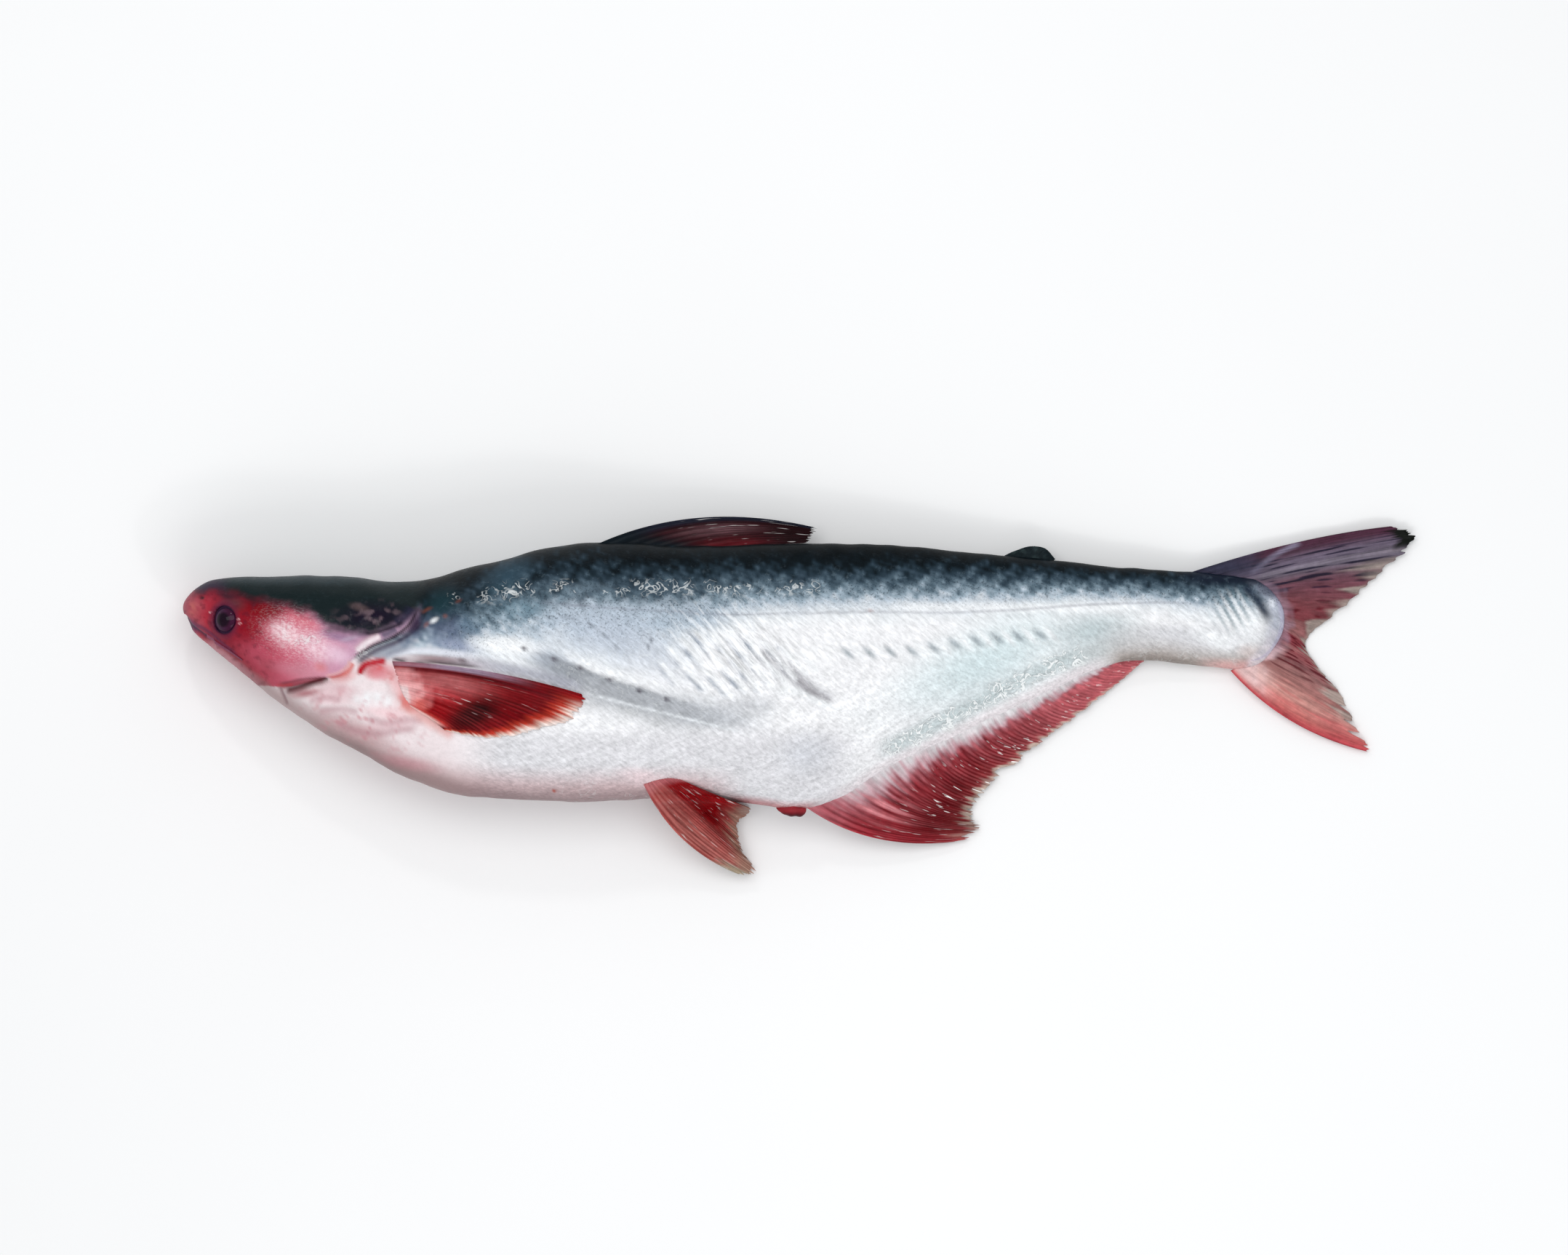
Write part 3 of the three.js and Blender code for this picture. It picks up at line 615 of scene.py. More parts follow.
def paint_head(paint):
    """Red round the eye and on the cheek, pale skin with a painted highlight on the cheek and gill cover,
    dark on the crown with painted sheen along its top.
    """
    x, y = paint.x, paint.y
    gill, _ = beside(x, y, GILL_LINE)
    over = y - belly(x)
    e = y - crown_edge(x) + 0.7 * waves(x, y, 9, 41) + 0.4 * waves(x, y, 3.5, 42)
    on_head = smooth(gill, 0.9, -0.9) * smooth(x, 116, 104)
    tones = [
        (0, 168, 84, 98), (6, 182, 76, 90), (12, 176, 48, 64), (20, 136, 34, 50),
        (28, 146, 30, 46), (38, 172, 58, 76), (50, 204, 102, 122), (62, 222, 152, 172),
        (76, 206, 156, 182), (95, 190, 156, 180),
    ]
    cheek = Paint(blend_of(x + 1.5 * waves(x, y, 12, 43), tones), x, y)
    cheek.spot((192, 82, 102), 0.85, 38, -17, 20, 11, -30)
    cheek.spot((172, 78, 92), 0.7, 39, -21, 8, 4, -30)
    cheek.spot((206, 134, 150), 0.8, 55, -24, 18, 5.5, -12)
    cheek.spot((128, 2, 16), 1.2, 38, 3.5, 20, 8, -10)
    cheek.spot((142, 12, 30), 0.9, 31, -4, 11, 11)
    cheek.spot((96, 50, 58), 0.9, 24, 7, 8.5, 5.5, -10)
    cheek.spot((84, 42, 56), 0.7, 21.5, 10.5, 6, 3)
    # pale pink skin with a painted highlight on the bulge of the cheek and gill cover
    highlight_patchiness = 0.85 + 0.25 * waves(x, y, 3.2, 44)
    cheek.spot((212, 104, 120), 0.9, 55, -1.5, 13, 6.5, -18)
    cheek.spot((236, 168, 181), 1.1 * highlight_patchiness, 50, -7.5, 16, 10.5, -24)
    cheek.spot((252, 226, 231), 0.9 * highlight_patchiness, 48, -7, 10.5, 5.5, -26)
    cheek.spot((248, 212, 223), 0.9 * highlight_patchiness, 62, -13, 14, 7.5, -34)
    cheek.spot((238, 204, 222), 0.8, 72, -16.5, 10, 5.5, -24)
    cheek.spot((142, 112, 146), 0.75, 72, -8.5, 12, 3.2, -14)
    cheek.spot((206, 192, 212), 0.5, 78, -9, 7, 1.6, 14)
    cheek.spot((214, 110, 96), 0.45, 64.5, -22, 5, 3.4, -20)
    cheek.spot((216, 120, 110), 0.5 * (0.6 + 0.6 * waves(x, y, 4, 45)), 5.5, 4.5, 4.5, 5.5, -20)
    cheek.spot((136, 46, 68), 0.7, 13, -8, 12, 4.5, -38)
    cheek.spot(SNOUT_PURPLE, 0.85, 4.5, -3.4, 6, 3.6, -42)
    cheek.over((192, 130, 140), 0.85 * smooth(over, 5.5, 2) * smooth(x, 8, 16))
    cheek.over((154, 90, 98), 0.7 * smooth(over, 7, 2) * smooth(x, 22, 30))
    cheek.spot((150, 84, 90), 0.8, 38, -30.5, 11, 3.4, -44)
    cheek.over((84, 46, 78), 0.6 * bump((over - 6.6) / 1.6) * smooth(x, 28, 22) * smooth(x, 4, 8))
    crown = Paint((22, 34, 36), x, y)
    mottle = oval(x, y, 88, 1, 24, 9.5, 2)
    crown.over((26, 14, 36), 0.9 * mottle)
    blotches = smooth(waves(x, y, 7, 46) + 0.5 * waves(x, y, 2.6, 47), 0.2, 1.4)
    crown.over((118, 98, 106), 0.75 * mottle * blotches)
    crown.spot((104, 84, 84), 0.6, 82, 5, 7, 2.6, -16)
    # painted sheen: lighter along the crown's top edge
    crown.over((60, 74, 80), 0.45 * smooth(y, 14, 18) * window(x, 6, 30, 90, 120))
    crown.over((58, 44, 66), 0.8 * smooth(x, 24, 14))
    mottled = smooth(waves(x, y, 5, 57) + 0.6 * waves(x, y, 2, 58), 0.3, 1.5)
    cheek.over((92, 22, 40), 0.45 * mottled * smooth(x, 48, 34))
    cheek.over((62, 16, 34), 0.75 * smooth(e, -5.5, 1) * smooth(x, 66, 56))
    cheek.over((96, 72, 104), 0.6 * smooth(e, -6, 0.5) * smooth(x, 56, 66))
    cover = smooth(e, -3.6, 3)[..., None]
    head = cheek.tint * (1 - cover) + crown.tint * cover
    paint.blend(head, on_head)


def paint_gill(paint):
    """The gill opening: a dark slit above and a dark slit below in painted shade, a painted shadow behind
    the upper one, a painted highlight on the lip, a red crease in the middle and a painted glint on the
    shoulder.
    """
    x, y = paint.x, paint.y
    lip = [(80.5, -15.8), (84, -12.4), (88, -9.9), (92, -8.3), (96, -6.8), (99, -5.2)]
    paint.line((204, 168, 178), 0.95, lip[:4], 3.6)
    paint.line((104, 92, 114), 0.9, lip[3:], 2.4)
    paint.line((36, 36, 58), 0.9, [(98, -2.5), (103, 0.5), (106, 5)], 4)
    paint.spot((60, 54, 76), 0.8, 108, -3, 5, 6, -20)
    # painted highlight along the lip's edge
    paint.line((244, 230, 236), 0.95, lip[:4], 2.2)
    # painted shadow behind the upper slit
    paint.over((64, 46, 72), 0.85 * stroke(x - 1.4, y + 2.2, UPPER_SLIT, 2.8))
    paint.over((84, 92, 120), 0.6 * stroke(x - 3, y + 5, UPPER_SLIT[1:8], 4.5))
    # painted shade in the upper slit and along the flap's groove
    paint.line((24, 10, 28), 0.95, UPPER_SLIT, 1.1)
    paint.line((34, 26, 40), 0.85, FLAP_LINE, 1.1)
    middle = [(79, -20), (78, -22.5), (75.5, -25), (72, -26.6), (67, -27.6)]
    paint.line((216, 92, 80), 0.8, middle, 1.8)
    paint.over((244, 190, 180), 0.6 * stroke(x + 1.2, y - 1.4, middle, 1))
    leaf = [(44, -31.2), (49, -30.4), (55, -29.4), (61, -28.6), (66, -27.9)]
    paint.line((150, 64, 76), 0.9, leaf, 3)
    paint.line((190, 60, 66), 0.6, [(43.5, -30.6), (48, -30.2), (52, -29.8)], 1.2)
    paint.line((110, 50, 62), 0.7, [(45, -30), (50, -28.7), (56, -27.5), (62, -27), (68, -27.6)], 0.8)
    # painted shade in the lower slit
    paint.line((86, 28, 36), 0.95, LOWER_SLIT, 2.2)
    paint.spot((170, 96, 104), 0.85, 57, -34.2, 11, 3, 8)
    paint.line((132, 96, 102), 0.7, THROAT_LINE, 1.2)
    paint.spot((28, 58, 66), 0.75, 119, 6, 11, 13, -20)
    paint.spot((90, 118, 138), 0.5, 132, -3, 9, 7)
    comma = [(82.8, -26), (82.6, -23.4), (85, -21), (90, -19.8), (95, -19.4)]
    paint.spot((222, 146, 154), 0.7, 91, -25.5, 8, 4, 10)
    paint.line((186, 28, 44), 1.1, comma, 2.4)
    paint.spot(SCAR_ORANGE, 0.45, 112.5, 4, 4, 1.5, 20)
    paint.spot(SCAR_ORANGE, 0.5, 112.5, -3, 2.6, 1.6, 50)
    paint.spot(SCAR_ORANGE, 0.5, 121, 1, 1.8, 1.6, 20)
    paint.spot(SCAR_ORANGE, 0.35, 127, 8, 2.6, 1.2, 30)
    # painted glint on the shoulder
    paint.spot(WHITE, 0.9, 116, -1, 3.4, 1.7, 34)


def paint_face(paint):
    """The mouth, the nostril, the dark skin round the eye and small painted highlights beside it."""
    x, y = paint.x, paint.y
    mouth, mouth_share = beside(x, y, MOUTH_LINE)
    paint.over((64, 30, 60), 0.8 * bump(mouth / 1.1) * smooth(mouth_share, 1, 0.9))
    paint.spot(HEAD_DARK, 0.8, *NOSTRIL, 1.8, 1.3)
    eye = np.hypot((x - EYE["x"]) / 5.1, (y - EYE["y"]) / 6.7)
    paint.over((104, 36, 60), 0.7 * smooth(eye, 1.6, 1.1))
    paint.over((38, 18, 44), 0.97 * smooth(eye, 1.12, 0.92))
    # small painted highlights round the eye
    for cx, cy in ((13.4, 2.8), (26.5, -0.4), (27.1, -2.2)):
        paint.spot((250, 200, 206), 0.9, cx, cy, 0.9, 0.6, 40)


def paint_tail(paint):
    """The end of the flesh in the tail: muscle bands, a dark crescent and a lilac rim."""
    x, y = paint.x, paint.y
    over = y - belly(x)
    rear = smooth(x, 430, 448)
    paint.over((212, 212, 216), 0.8 * rear * smooth(y, -1, -6))
    # painted shade towards the lower outline of the tail's root
    paint.over((176, 166, 160), 0.95 * smooth(over, 13, 1) * smooth(x, 418, 432))
    paint.over((124, 114, 108), 0.7 * smooth(over, 5, 0) * window(x, 424, 436, 460, 476))
    paint.over((222, 168, 166), 0.8 * smooth(over, 6, 1) * smooth(x, 462, 480))
    paint.spot((196, 196, 198), 0.6, 434, -9, 20, 9)
    paint.spot(WHITE, 0.9, 474, -9, 18, 7, -20)
    paint.spot(WHITE, 0.8, 488, -5, 12, 12, 10)
    paint.spot((226, 206, 202), 0.5, 489, -15, 8, 5)
    muscle = np.sin((x + 0.57 * y) * 2 * np.pi / 4.3)
    bands = oval(x, y, 482, 3, 15, 13)
    paint.over(WHITE, 0.8 * smooth(muscle, -0.1, 0.8) * bands)
    paint.over((122, 144, 152), 0.7 * smooth(-muscle, -0.2, 0.8) * bands)
    rim = smooth(x - flesh_end(y), -9.5, -4) * smooth(x, 486, 493)
    rim_stops = [(-16, 220, 212, 218), (-4, 174, 178, 192), (8, 184, 190, 204)]
    rim_tone = blend_of(y + 2 * waves(x, y, 6, 48), rim_stops)
    paint.blend(rim_tone, 0.9 * rim)
    paint.spot((232, 236, 244), 0.6 * (0.6 + 0.6 * waves(x, y, 4, 49)), 500, 7, 3, 8, -10)
    paint.over((168, 160, 190), 0.5 * bump((x - flesh_end(y) + 0.8) / 2) * smooth(x, 488, 492))
    paint.over((38, 48, 66), 0.95 * stroke(x, y, CRESCENT_LINE, 4) * smooth(y, -6, 4))
    paint.over((62, 70, 92), 0.75 * rim * smooth(y, 7, 12))
    paint.over((24, 32, 48), 0.95 * smooth(y, 13, 18) * smooth(x, 452, 470))


def skin_paint(x, y):
    """The colour of the skin over (x, y) of the side view."""
    paint = paint_ground(x, y)
    for layer in (paint_flank, paint_belly, paint_fin_base, paint_head, paint_gill, paint_face, paint_tail):
        layer(paint)
    return paint.tint


def wetness(x, y):
    """How strongly slime ripples catch the light: most along the anal fin's base and high on the back."""
    e = y - silver_level(x)
    return (
        1.3 * stroke(x, y, SLIME_BAND, 7)
        + 0.46 * bump((y - 14) / 7) * window(x, 142, 156, 288, 306)
        + 0.4 * bump((y - 11) / 9) * window(x, 118, 126, 146, 160)
        + 0.45 * oval(x, y, 56, -10, 24, 15, -24)
        + 0.4 * oval(x, y, 84, -14, 14, 6, 20)
        + 0.25 * smooth(e, 0, -8) * smooth(x, 150, 180)
        + 0.15
    )


def add_mesh(name, points, faces, uv):
    """A smooth mesh object from points in the fish's frame. uv holds one pair for each face corner."""
    mesh = bpy.data.meshes.new(name)
    mesh.from_pydata(to_row(points), [], faces)
    mesh.uv_layers.new(name="OFBake").data.foreach_set("uv", np.asarray(uv, np.float32).ravel())
    mesh.shade_smooth()
    piece = bpy.data.objects.new(name, mesh)
    bpy.context.scene.collection.objects.link(piece)
    return piece


def set_colour(piece, values):
    """Stores linear colours, one for each vertex, for the material to read."""
    layer = piece.data.attributes.new("tint", "FLOAT_COLOR", "POINT")
    rgba = np.ones((len(piece.data.vertices), 4), np.float32)
    rgba[:, :3] = np.asarray(values).reshape(-1, 3)
    layer.data.foreach_set("color", rgba.ravel())


# The skin's patterns for small pieces without patterns of their own.
PLAIN_SKIN = {"wet": 0.3, "speckle": 0.15, "ribs": 0, "fibre": 0, "low": 0, "flecks": 0}


def set_values(piece, values):
    """Stores named numbers, one for each vertex or one for all, for the material to read."""
    for name, numbers in values.items():
        layer = piece.data.attributes.new(name, "FLOAT", "POINT")
        flat = np.broadcast_to(np.asarray(numbers, np.float32).ravel(), len(piece.data.vertices))
        layer.data.foreach_set("value", np.ascontiguousarray(flat))


def quad_uv(u0, u1, v0, v1):
    """The UVs of the four corners of each quad."""
    return np.stack([u0, v0, u0, v1, u1, v1, u1, v0], -1).reshape(-1, 4, 2)


def tube_faces(rows, columns):
    """Quads and their UVs for rows of closed rings."""
    i, j = np.mgrid[0 : rows - 1, 0:columns]
    k = (j + 1) % columns
    quads = np.stack([i * columns + j, i * columns + k, (i + 1) * columns + k, (i + 1) * columns + j], -1)
    u0, u1 = i / (rows - 1), (i + 1) / (rows - 1)
    return quads.reshape(-1, 4), quad_uv(u0, u1, j / columns, (j + 1) / columns)


def tube(name, rings):
    """A closed tube of rings[i][j]. Each end is closed to a point at its centre."""
    rows, columns, _ = rings.shape
    quads, uv = tube_faces(rows, columns)
    points = [*rings.reshape(-1, 3), rings[0].mean(axis=0), rings[-1].mean(axis=0)]
    faces, corners = quads.tolist(), uv.reshape(-1, 2).tolist()
    last = (rows - 1) * columns
    for j in range(columns):
        k = (j + 1) % columns
        faces.append([rows * columns, k, j])
        faces.append([rows * columns + 1, last + j, last + k])
        v0, v1 = j / columns, (j + 1) / columns
        corners += [[0, v0], [0, v1], [0, v0], [1, v0], [1, v0], [1, v1]]
    return add_mesh(name, np.array(points), faces, corners)


def plate(name, upper, lower):
    """A closed thin plate between two grids of points of the same size."""
    rows, columns, _ = upper.shape
    i, j = np.mgrid[0 : rows - 1, 0 : columns - 1]
    a = i * columns + j
    top = np.stack([a, a + 1, a + columns + 1, a + columns], -1).reshape(-1, 4)
    count = rows * columns
    u0, u1 = i / (rows - 1), (i + 1) / (rows - 1)
    uv_top = quad_uv(u0, u1, 0.5 * j / (columns - 1), 0.5 * (j + 1) / (columns - 1))
    uv_bottom = uv_top[:, ::-1] + [0, 0.5]
    edge = [
        *range(columns),
        *range(2 * columns - 1, count, columns),
        *range(count - 2, count - columns - 1, -1),
        *range(count - 2 * columns, 0, -columns),
    ]
    rim = [[p, p + count, q + count, q] for p, q in zip(edge, edge[1:] + edge[:1])]
    faces = [*top.tolist(), *(top[:, ::-1] + count).tolist(), *rim]
    place = np.stack(
        [np.repeat(np.linspace(0, 1, rows), columns), np.tile(np.linspace(0, 0.5, columns), rows)], -1
    )
    uv_rim = [place[k % count] for face in rim for k in face]
    corners = np.concatenate([uv_top.reshape(-1, 2), uv_bottom.reshape(-1, 2), np.array(uv_rim)])
    points = np.concatenate([upper.reshape(-1, 3), lower.reshape(-1, 3)])
    return add_mesh(name, points, faces, corners)


def body_stations():
    """Places of the body's rings: closest together on the head, where the finest detail is."""
    nose = NOSE_ROUND * (1 - np.cos(np.linspace(0, np.pi / 2, 26)[1:-1]))
    tail = BODY_LENGTH - TAIL_ROUND + TAIL_ROUND * np.sin(np.linspace(0, np.pi / 2, 22)[1:-1])
    head_end, trunk_end = 130, 455
    return np.concatenate([
        nose,
        np.arange(NOSE_ROUND, head_end, 0.75),
        np.arange(head_end, trunk_end, 1.35),
        np.arange(trunk_end, BODY_LENGTH - TAIL_ROUND, 0.95),
        tail,
    ])


def body_angles():
    """Angles round the section: most of the points go to the upper flank."""
    upper_count, lower_count = 168, 42
    upper = np.linspace(-np.pi / 2, np.pi / 2, upper_count)
    lower = np.linspace(np.pi / 2, 3 * np.pi / 2, lower_count)[1:-1]
    return np.concatenate([upper, lower])


def sink_sockets(points):
    """Sinks the skin under each eyeball and raises a soft rim round it."""
    depth, wall_top, wall_foot = 1.5, 6.4, 5.2
    rim_radius, rim_width, rim_height = 7, 2.4, 0.6
    for side in (1, -1):
        centre, normal = eye_place(side)
        away = points - centre
        height = away @ normal
        radius = np.linalg.norm(away - height[..., None] * normal, axis=-1)
        near = height > -12
        drop = (height + depth) * smooth(radius, wall_top, wall_foot) * near
        rim = rim_height * bump((radius - rim_radius) / rim_width) * near
        points = points + (rim - drop)[..., None] * normal
    return points


def skin_patterns(x, y):
    """What the skin's material reads from the points, besides their colour."""
    silver = silver_level(x)
    between = (y - silver) / (dark_level(x) - silver)
    gill, _ = beside(x, y, GILL_LINE)
    return {
        "wet": wetness(x, y),
        "speckle": bump((between - 0.45) / 0.9) * smooth(x, 112, 128) + 0.12,
        "ribs": oval(x, y, 254, -14, 50, 30, -18),
        "fibre": smooth(x, 118, 150) * smooth(between, 1.1, 0.4),
        "low": smooth(y - silver, -26, -38) * smooth(x, 120, 150),
        "flecks": smooth(gill, 1, -1) * oval(x, y, 52, -8, 26, 17, -24),
    }


def body_surface():
    """The body's points in rings from snout to tail, and their places before the fine relief."""
    plain = skin_at(body_stations()[:, None], body_angles()[None, :])
    x, y = plain[..., 0], plain[..., 1]
    along = np.gradient(plain, axis=0)
    around = np.roll(plain, -1, axis=1) - np.roll(plain, 1, axis=1)
    normal = np.cross(around, along)
    normal /= np.maximum(np.linalg.norm(normal, axis=-1, keepdims=True), 1e-9)
    outward = plain - np.stack([x, level(x), midplane(x)], -1)
    normal *= np.sign(np.sum(normal * outward, axis=-1, keepdims=True))
    points = sink_sockets(plain + normal * detail(x, y)[..., None])
    points[..., 2] = press(points[..., 2])
    return points[:, ::-1], x[:, ::-1], y[:, ::-1]


def make_body():
    points, x, y = body_surface()
    piece = tube("body", points)
    tint = skin_paint(x, y)
    ends = [tint[0].mean(axis=0), tint[-1].mean(axis=0)]
    set_colour(piece, np.concatenate([tint.reshape(-1, 3), ends]))
    patterns = skin_patterns(x, y)
    set_values(piece, {name: np.append(values.ravel(), [0, 0]) for name, values in patterns.items()})
    finish_piece(piece, skin_material(), "fish")


@dataclass
class Fin:
    """A fin between three rows of control points that run across its rays: at the roots, half way
    and at the tips. u runs across the rays and v out along them.
    """

    root: list
    middle: list
    tip: list
    rays: int
    tear: float
    height: Callable
    tint: Callable
    seed: int
    spine: float = 0
    ray_height: float = 0.55
    root_thickness: float = 2.4
    wave: float = 0.5
    # Tears as (place across the rays, half width, depth).
    bites: tuple = ()
    wet: Callable = lambda u, v: 0.3 + 0 * u

    def per_ray(self, u, seed):
        """A random value from 0 to 1 for each ray, blended between rays."""
        values = np.random.default_rng(self.seed * 100 + seed).uniform(0, 1, self.rays + 2)
        place = u * self.rays
        gap = np.floor(place).astype(int)
        share = smooth(place - gap, 0.3, 0.7)
        return values[gap] * (1 - share) + values[gap + 1] * share

    def reach(self, u):
        """The share of its length that each place across the rays keeps, above 1 at long rays."""
        depths = np.random.default_rng(self.seed).uniform(0.1, 1, self.rays + 2)
        place = u * self.rays
        gap = np.floor(place).astype(int)
        to_ray = np.abs(place - np.round(place)) * 2
        uneven = 0.25 * waves(u * 100, 0 * u, 2.3, self.seed + 40)
        torn = depths[gap] * (1 - to_ray**2) * 0.8 + 0.7 * self.per_ray(u, 1) + uneven
        kept = 1 - self.tear * (np.clip(torn, 0, 1.6) - 0.6)
        for middle, half, depth in self.bites:
            kept = kept - depth * smooth(np.abs(u - middle), half, 0)
        return kept

    def ridge(self, u, v):
        """1 on a ray and 0 between two. The rays fork half way out."""
        place = u * self.rays
        single = bump((place - np.round(place)) * 2)
        double = bump((place * 2 - np.round(place * 2)) * 2)
        fork = smooth(v, 0.35, 0.6)
        return single * (1 - fork) + double * fork

    def surface(self, u, v):
        w = (v * self.reach(u))[..., None]
        root, middle, tip = (curve(row)(u) for row in (self.root, self.middle, self.tip))
        return root * (1 - w) * (1 - 2 * w) + middle * 4 * w * (1 - w) + tip * w * (2 * w - 1)

    def thickness(self, u, v):
        ray = self.ray_height * self.ridge(u, v) * (1 - 0.6 * v)
        spine = self.spine * bump(u * self.rays * 0.5) * (1 - 0.8 * v)
        edge = smooth(v, 1.02, 0.93)
        return (0.55 + ray + spine) * (0.35 + 0.65 * edge) + self.root_thickness * (1 - v) ** 4


def make_fin(name, fin):
    points_per_ray, points_along_ray = 8, 60
    across = np.linspace(0, 1, fin.rays * points_per_ray + 1)
    u, v = np.meshgrid(across, np.linspace(0, 1, points_along_ray))
    flat = fin.surface(u, v)
    x, y = flat[..., 0], flat[..., 1]
    thick = fin.thickness(u, v) / 2
    ripple = fin.wave * v * (waves(x, y, 22, fin.seed + 7) + 0.35 * waves(x, y, 7, fin.seed + 8))
    middle = fin.height(u, v, x, y) + ripple
    top = np.maximum(middle + thick, 0.6)
    bottom = np.maximum(middle - thick, 0)
    piece = plate(name, np.stack([x, y, top], -1), np.stack([x, y, bottom], -1))
    tint = fin.tint(fin, u, v, x, y, fin.ridge(u, v)).reshape(-1, 3)
    set_colour(piece, np.concatenate([tint, tint]))
    values = {"wet": fin.wet(u, v), "ray": u * fin.rays, "out": v}
    set_values(piece, {key: np.tile(numbers.ravel(), 2) for key, numbers in values.items()})
    finish_piece(piece, fin_material(), "fish")


def drooping(tip_height):
    """Height of a fin whose root lies in the plane of symmetry and whose tips sink to a height."""
    return lambda u, v, x, y: midplane(x) + (tip_height - midplane(x)) * v**1.2


def caudal_tint(fin, u, v, x, y, ridge):
    stops = [
        (0, 70, 36, 54), (0.05, 84, 50, 68), (0.12, 104, 92, 110), (0.2, 104, 96, 110),
        (0.28, 104, 66, 78), (0.38, 116, 62, 68), (0.48, 112, 48, 54), (0.56, 138, 60, 68),
        (0.64, 142, 78, 82), (0.71, 134, 86, 88), (0.77, 146, 100, 98),
        (0.83, 166, 114, 110), (0.9, 204, 146, 138), (0.96, 208, 116, 112), (1, 186, 64, 74),
    ]
    paint = Paint(blend_of(u, stops), x, y)
    uneven = fin.per_ray(u, 2)
    stripe = smooth(0.4 * (1 - ridge) + 0.65 * uneven + 0.7 * waves(u * 240, v * 14, 8, 52), 0.8, 1.15)
    upper = smooth(u, 0.42, 0.28) * smooth(u, 0.03, 0.1)
    paint.over((26, 22, 44), 0.9 * stripe * upper * smooth(v, 0.02, 0.2))
    paint.over((150, 140, 154), 0.4 * smooth(uneven, 0.3, 0.05) * upper)
    paint.over((88, 16, 28), 0.85 * stripe * window(u, 0.28, 0.42, 0.76, 0.82))
    paint.over((186, 146, 142), 0.3 * smooth(uneven, 0.4, 0.1) * window(u, 0.36, 0.5, 0.72, 0.8))
    paint.over((186, 84, 86), 0.35 * stripe * smooth(u, 0.82, 0.88))
    grey = smooth(v + 0.16 * waves(u * 200, v * 10, 9, 51) + 0.05 * ridge, 0.83, 1.05)
    paint.over((170, 156, 148), 0.85 * grey * window(u, 0.14, 0.28, 0.84, 0.9))
    paint.over((176, 64, 74), 0.45 * window(v, 0.6, 0.85, 0.97, 1) * smooth(u, 0.86, 0.92))
    paint.over((14, 18, 14), smooth(u, 0.2, 0.15) * smooth(u, 0.02, 0.05) * smooth(v, 0.91, 0.95))
    paint.line((140, 132, 156), 0.8, [(489, 19), (497, 26), (505, 31), (514, 35)], 2)
    paint.over((22, 34, 48), 0.95 * smooth(v, 0.4, 0.12) * smooth(u, 0.17, 0.06))
    past_flesh = x - flesh_end(y) + 1.5 * waves(x, y, 5, 55)
    paint.over((158, 128, 142), 0.8 * smooth(past_flesh, 6, 0) * window(u, 0.12, 0.25, 0.7, 0.85))
    low_root = smooth(past_flesh, 10, 0) * smooth(y, -11, -16)
    paint.over((222, 192, 196), 0.7 * low_root * smooth(u, 0.99, 0.94))
    paint.over((70, 66, 88), 0.5 * smooth(past_flesh, 8, 0) * smooth(y, 8, 13))
    paint.over((236, 204, 200), 0.6 * smooth(v, 0.4, 0.1) * window(u, 0.8, 0.88, 0.95, 1))
    return paint.tint


def anal_tint(fin, u, v, x, y, ridge):
    streak = 0.03 * (fin.per_ray(u, 2) - 0.5) + 0.02 * (ridge - 0.5) + 0.05 * waves(u * 300, v * 30, 8, 61)
    rear = smooth(u, 0.2, 0.75)
    start = np.interp(u, [0.03, 0.12, 0.3, 0.5, 0.7, 0.9, 1], [0, 0.12, 0.17, 0.24, 0.27, 0.22, 0.15])
    t = (v - start) / (1 - start) + streak
    stops = [
        (-0.3, 228, 228, 229), (-0.12, 214, 206, 209), (0.02, 194, 158, 165),
        (0.14, 164, 92, 101), (0.28, 136, 34, 44), (0.7, 112, 8, 18), (0.88, 146, 52, 54),
        (1, 176, 152, 140),
    ]
    paint = Paint(blend_of(t, stops), u, v)
    paint.over((176, 84, 94), 0.8 * smooth(u, 0.16, 0.04) * smooth(v, 0.5, 0.1))
    paint.over((168, 30, 46), 0.75 * smooth(u, 0.1, 0.02) * smooth(v, 0.15, 0.4))
    body = smooth(t, 0.02, 0.2)
    paint.over((84, 4, 12), 0.6 * (1 - ridge) * body * smooth(t, 0.98, 0.85))
    paint.over((216, 130, 136), (0.1 + 0.35 * fin.per_ray(u, 3)) * ridge * body * (0.6 + 0.4 * rear))
    paint.over((212, 112, 120), 0.75 * smooth(u, 0.5, 0.9) * body * (0.7 + 0.3 * ridge))
    front = window(u, 0.04, 0.1, 0.14, 0.28) * smooth(v, 0.7, 0.35)
    paint.over((210, 130, 136), 0.7 * front * body * waves(u * 260, v * 12, 10, 64))
    paint.spot((84, 0, 8), 0.6, 0.22, 0.8, 0.3, 0.36)
    paint.over((194, 178, 166), 0.75 * smooth(t, 0.88, 1.02) * window(u, 0.1, 0.25, 0.8, 0.95))
    return paint.tint


def dorsal_tint(fin, u, v, x, y, ridge):
    paint = Paint((54, 14, 22), u, v)
    paint.over((118, 84, 90), 0.85 * oval(u, v, 0.45, 0.5, 0.3, 0.36) * (0.5 + 0.5 * fin.per_ray(u, 2)))
    paint.over((34, 8, 12), 0.85 * smooth(v, 0.7, 0.86))
    paint.over((30, 6, 10), 0.7 * (1 - ridge))
    paint.over((100, 22, 30), 0.7 * smooth(u, 0.6, 0.95) * smooth(v, 0.8, 0.5))
    paint.over((26, 2, 6), 0.7 * smooth(v, 0.8, 0.95))
    paint.over((26, 30, 44), 0.95 * smooth(u, 0.26, 0.1))
    paint.over((14, 24, 30), 0.95 * smooth(v, 0.3, 0.1))
    return paint.tint


def adipose_tint(fin, u, v, x, y, ridge):
    paint = Paint((24, 34, 38), u, v)
    paint.over((50, 64, 66), 0.6 * waves(x, y, 6, 71))
    return paint.tint


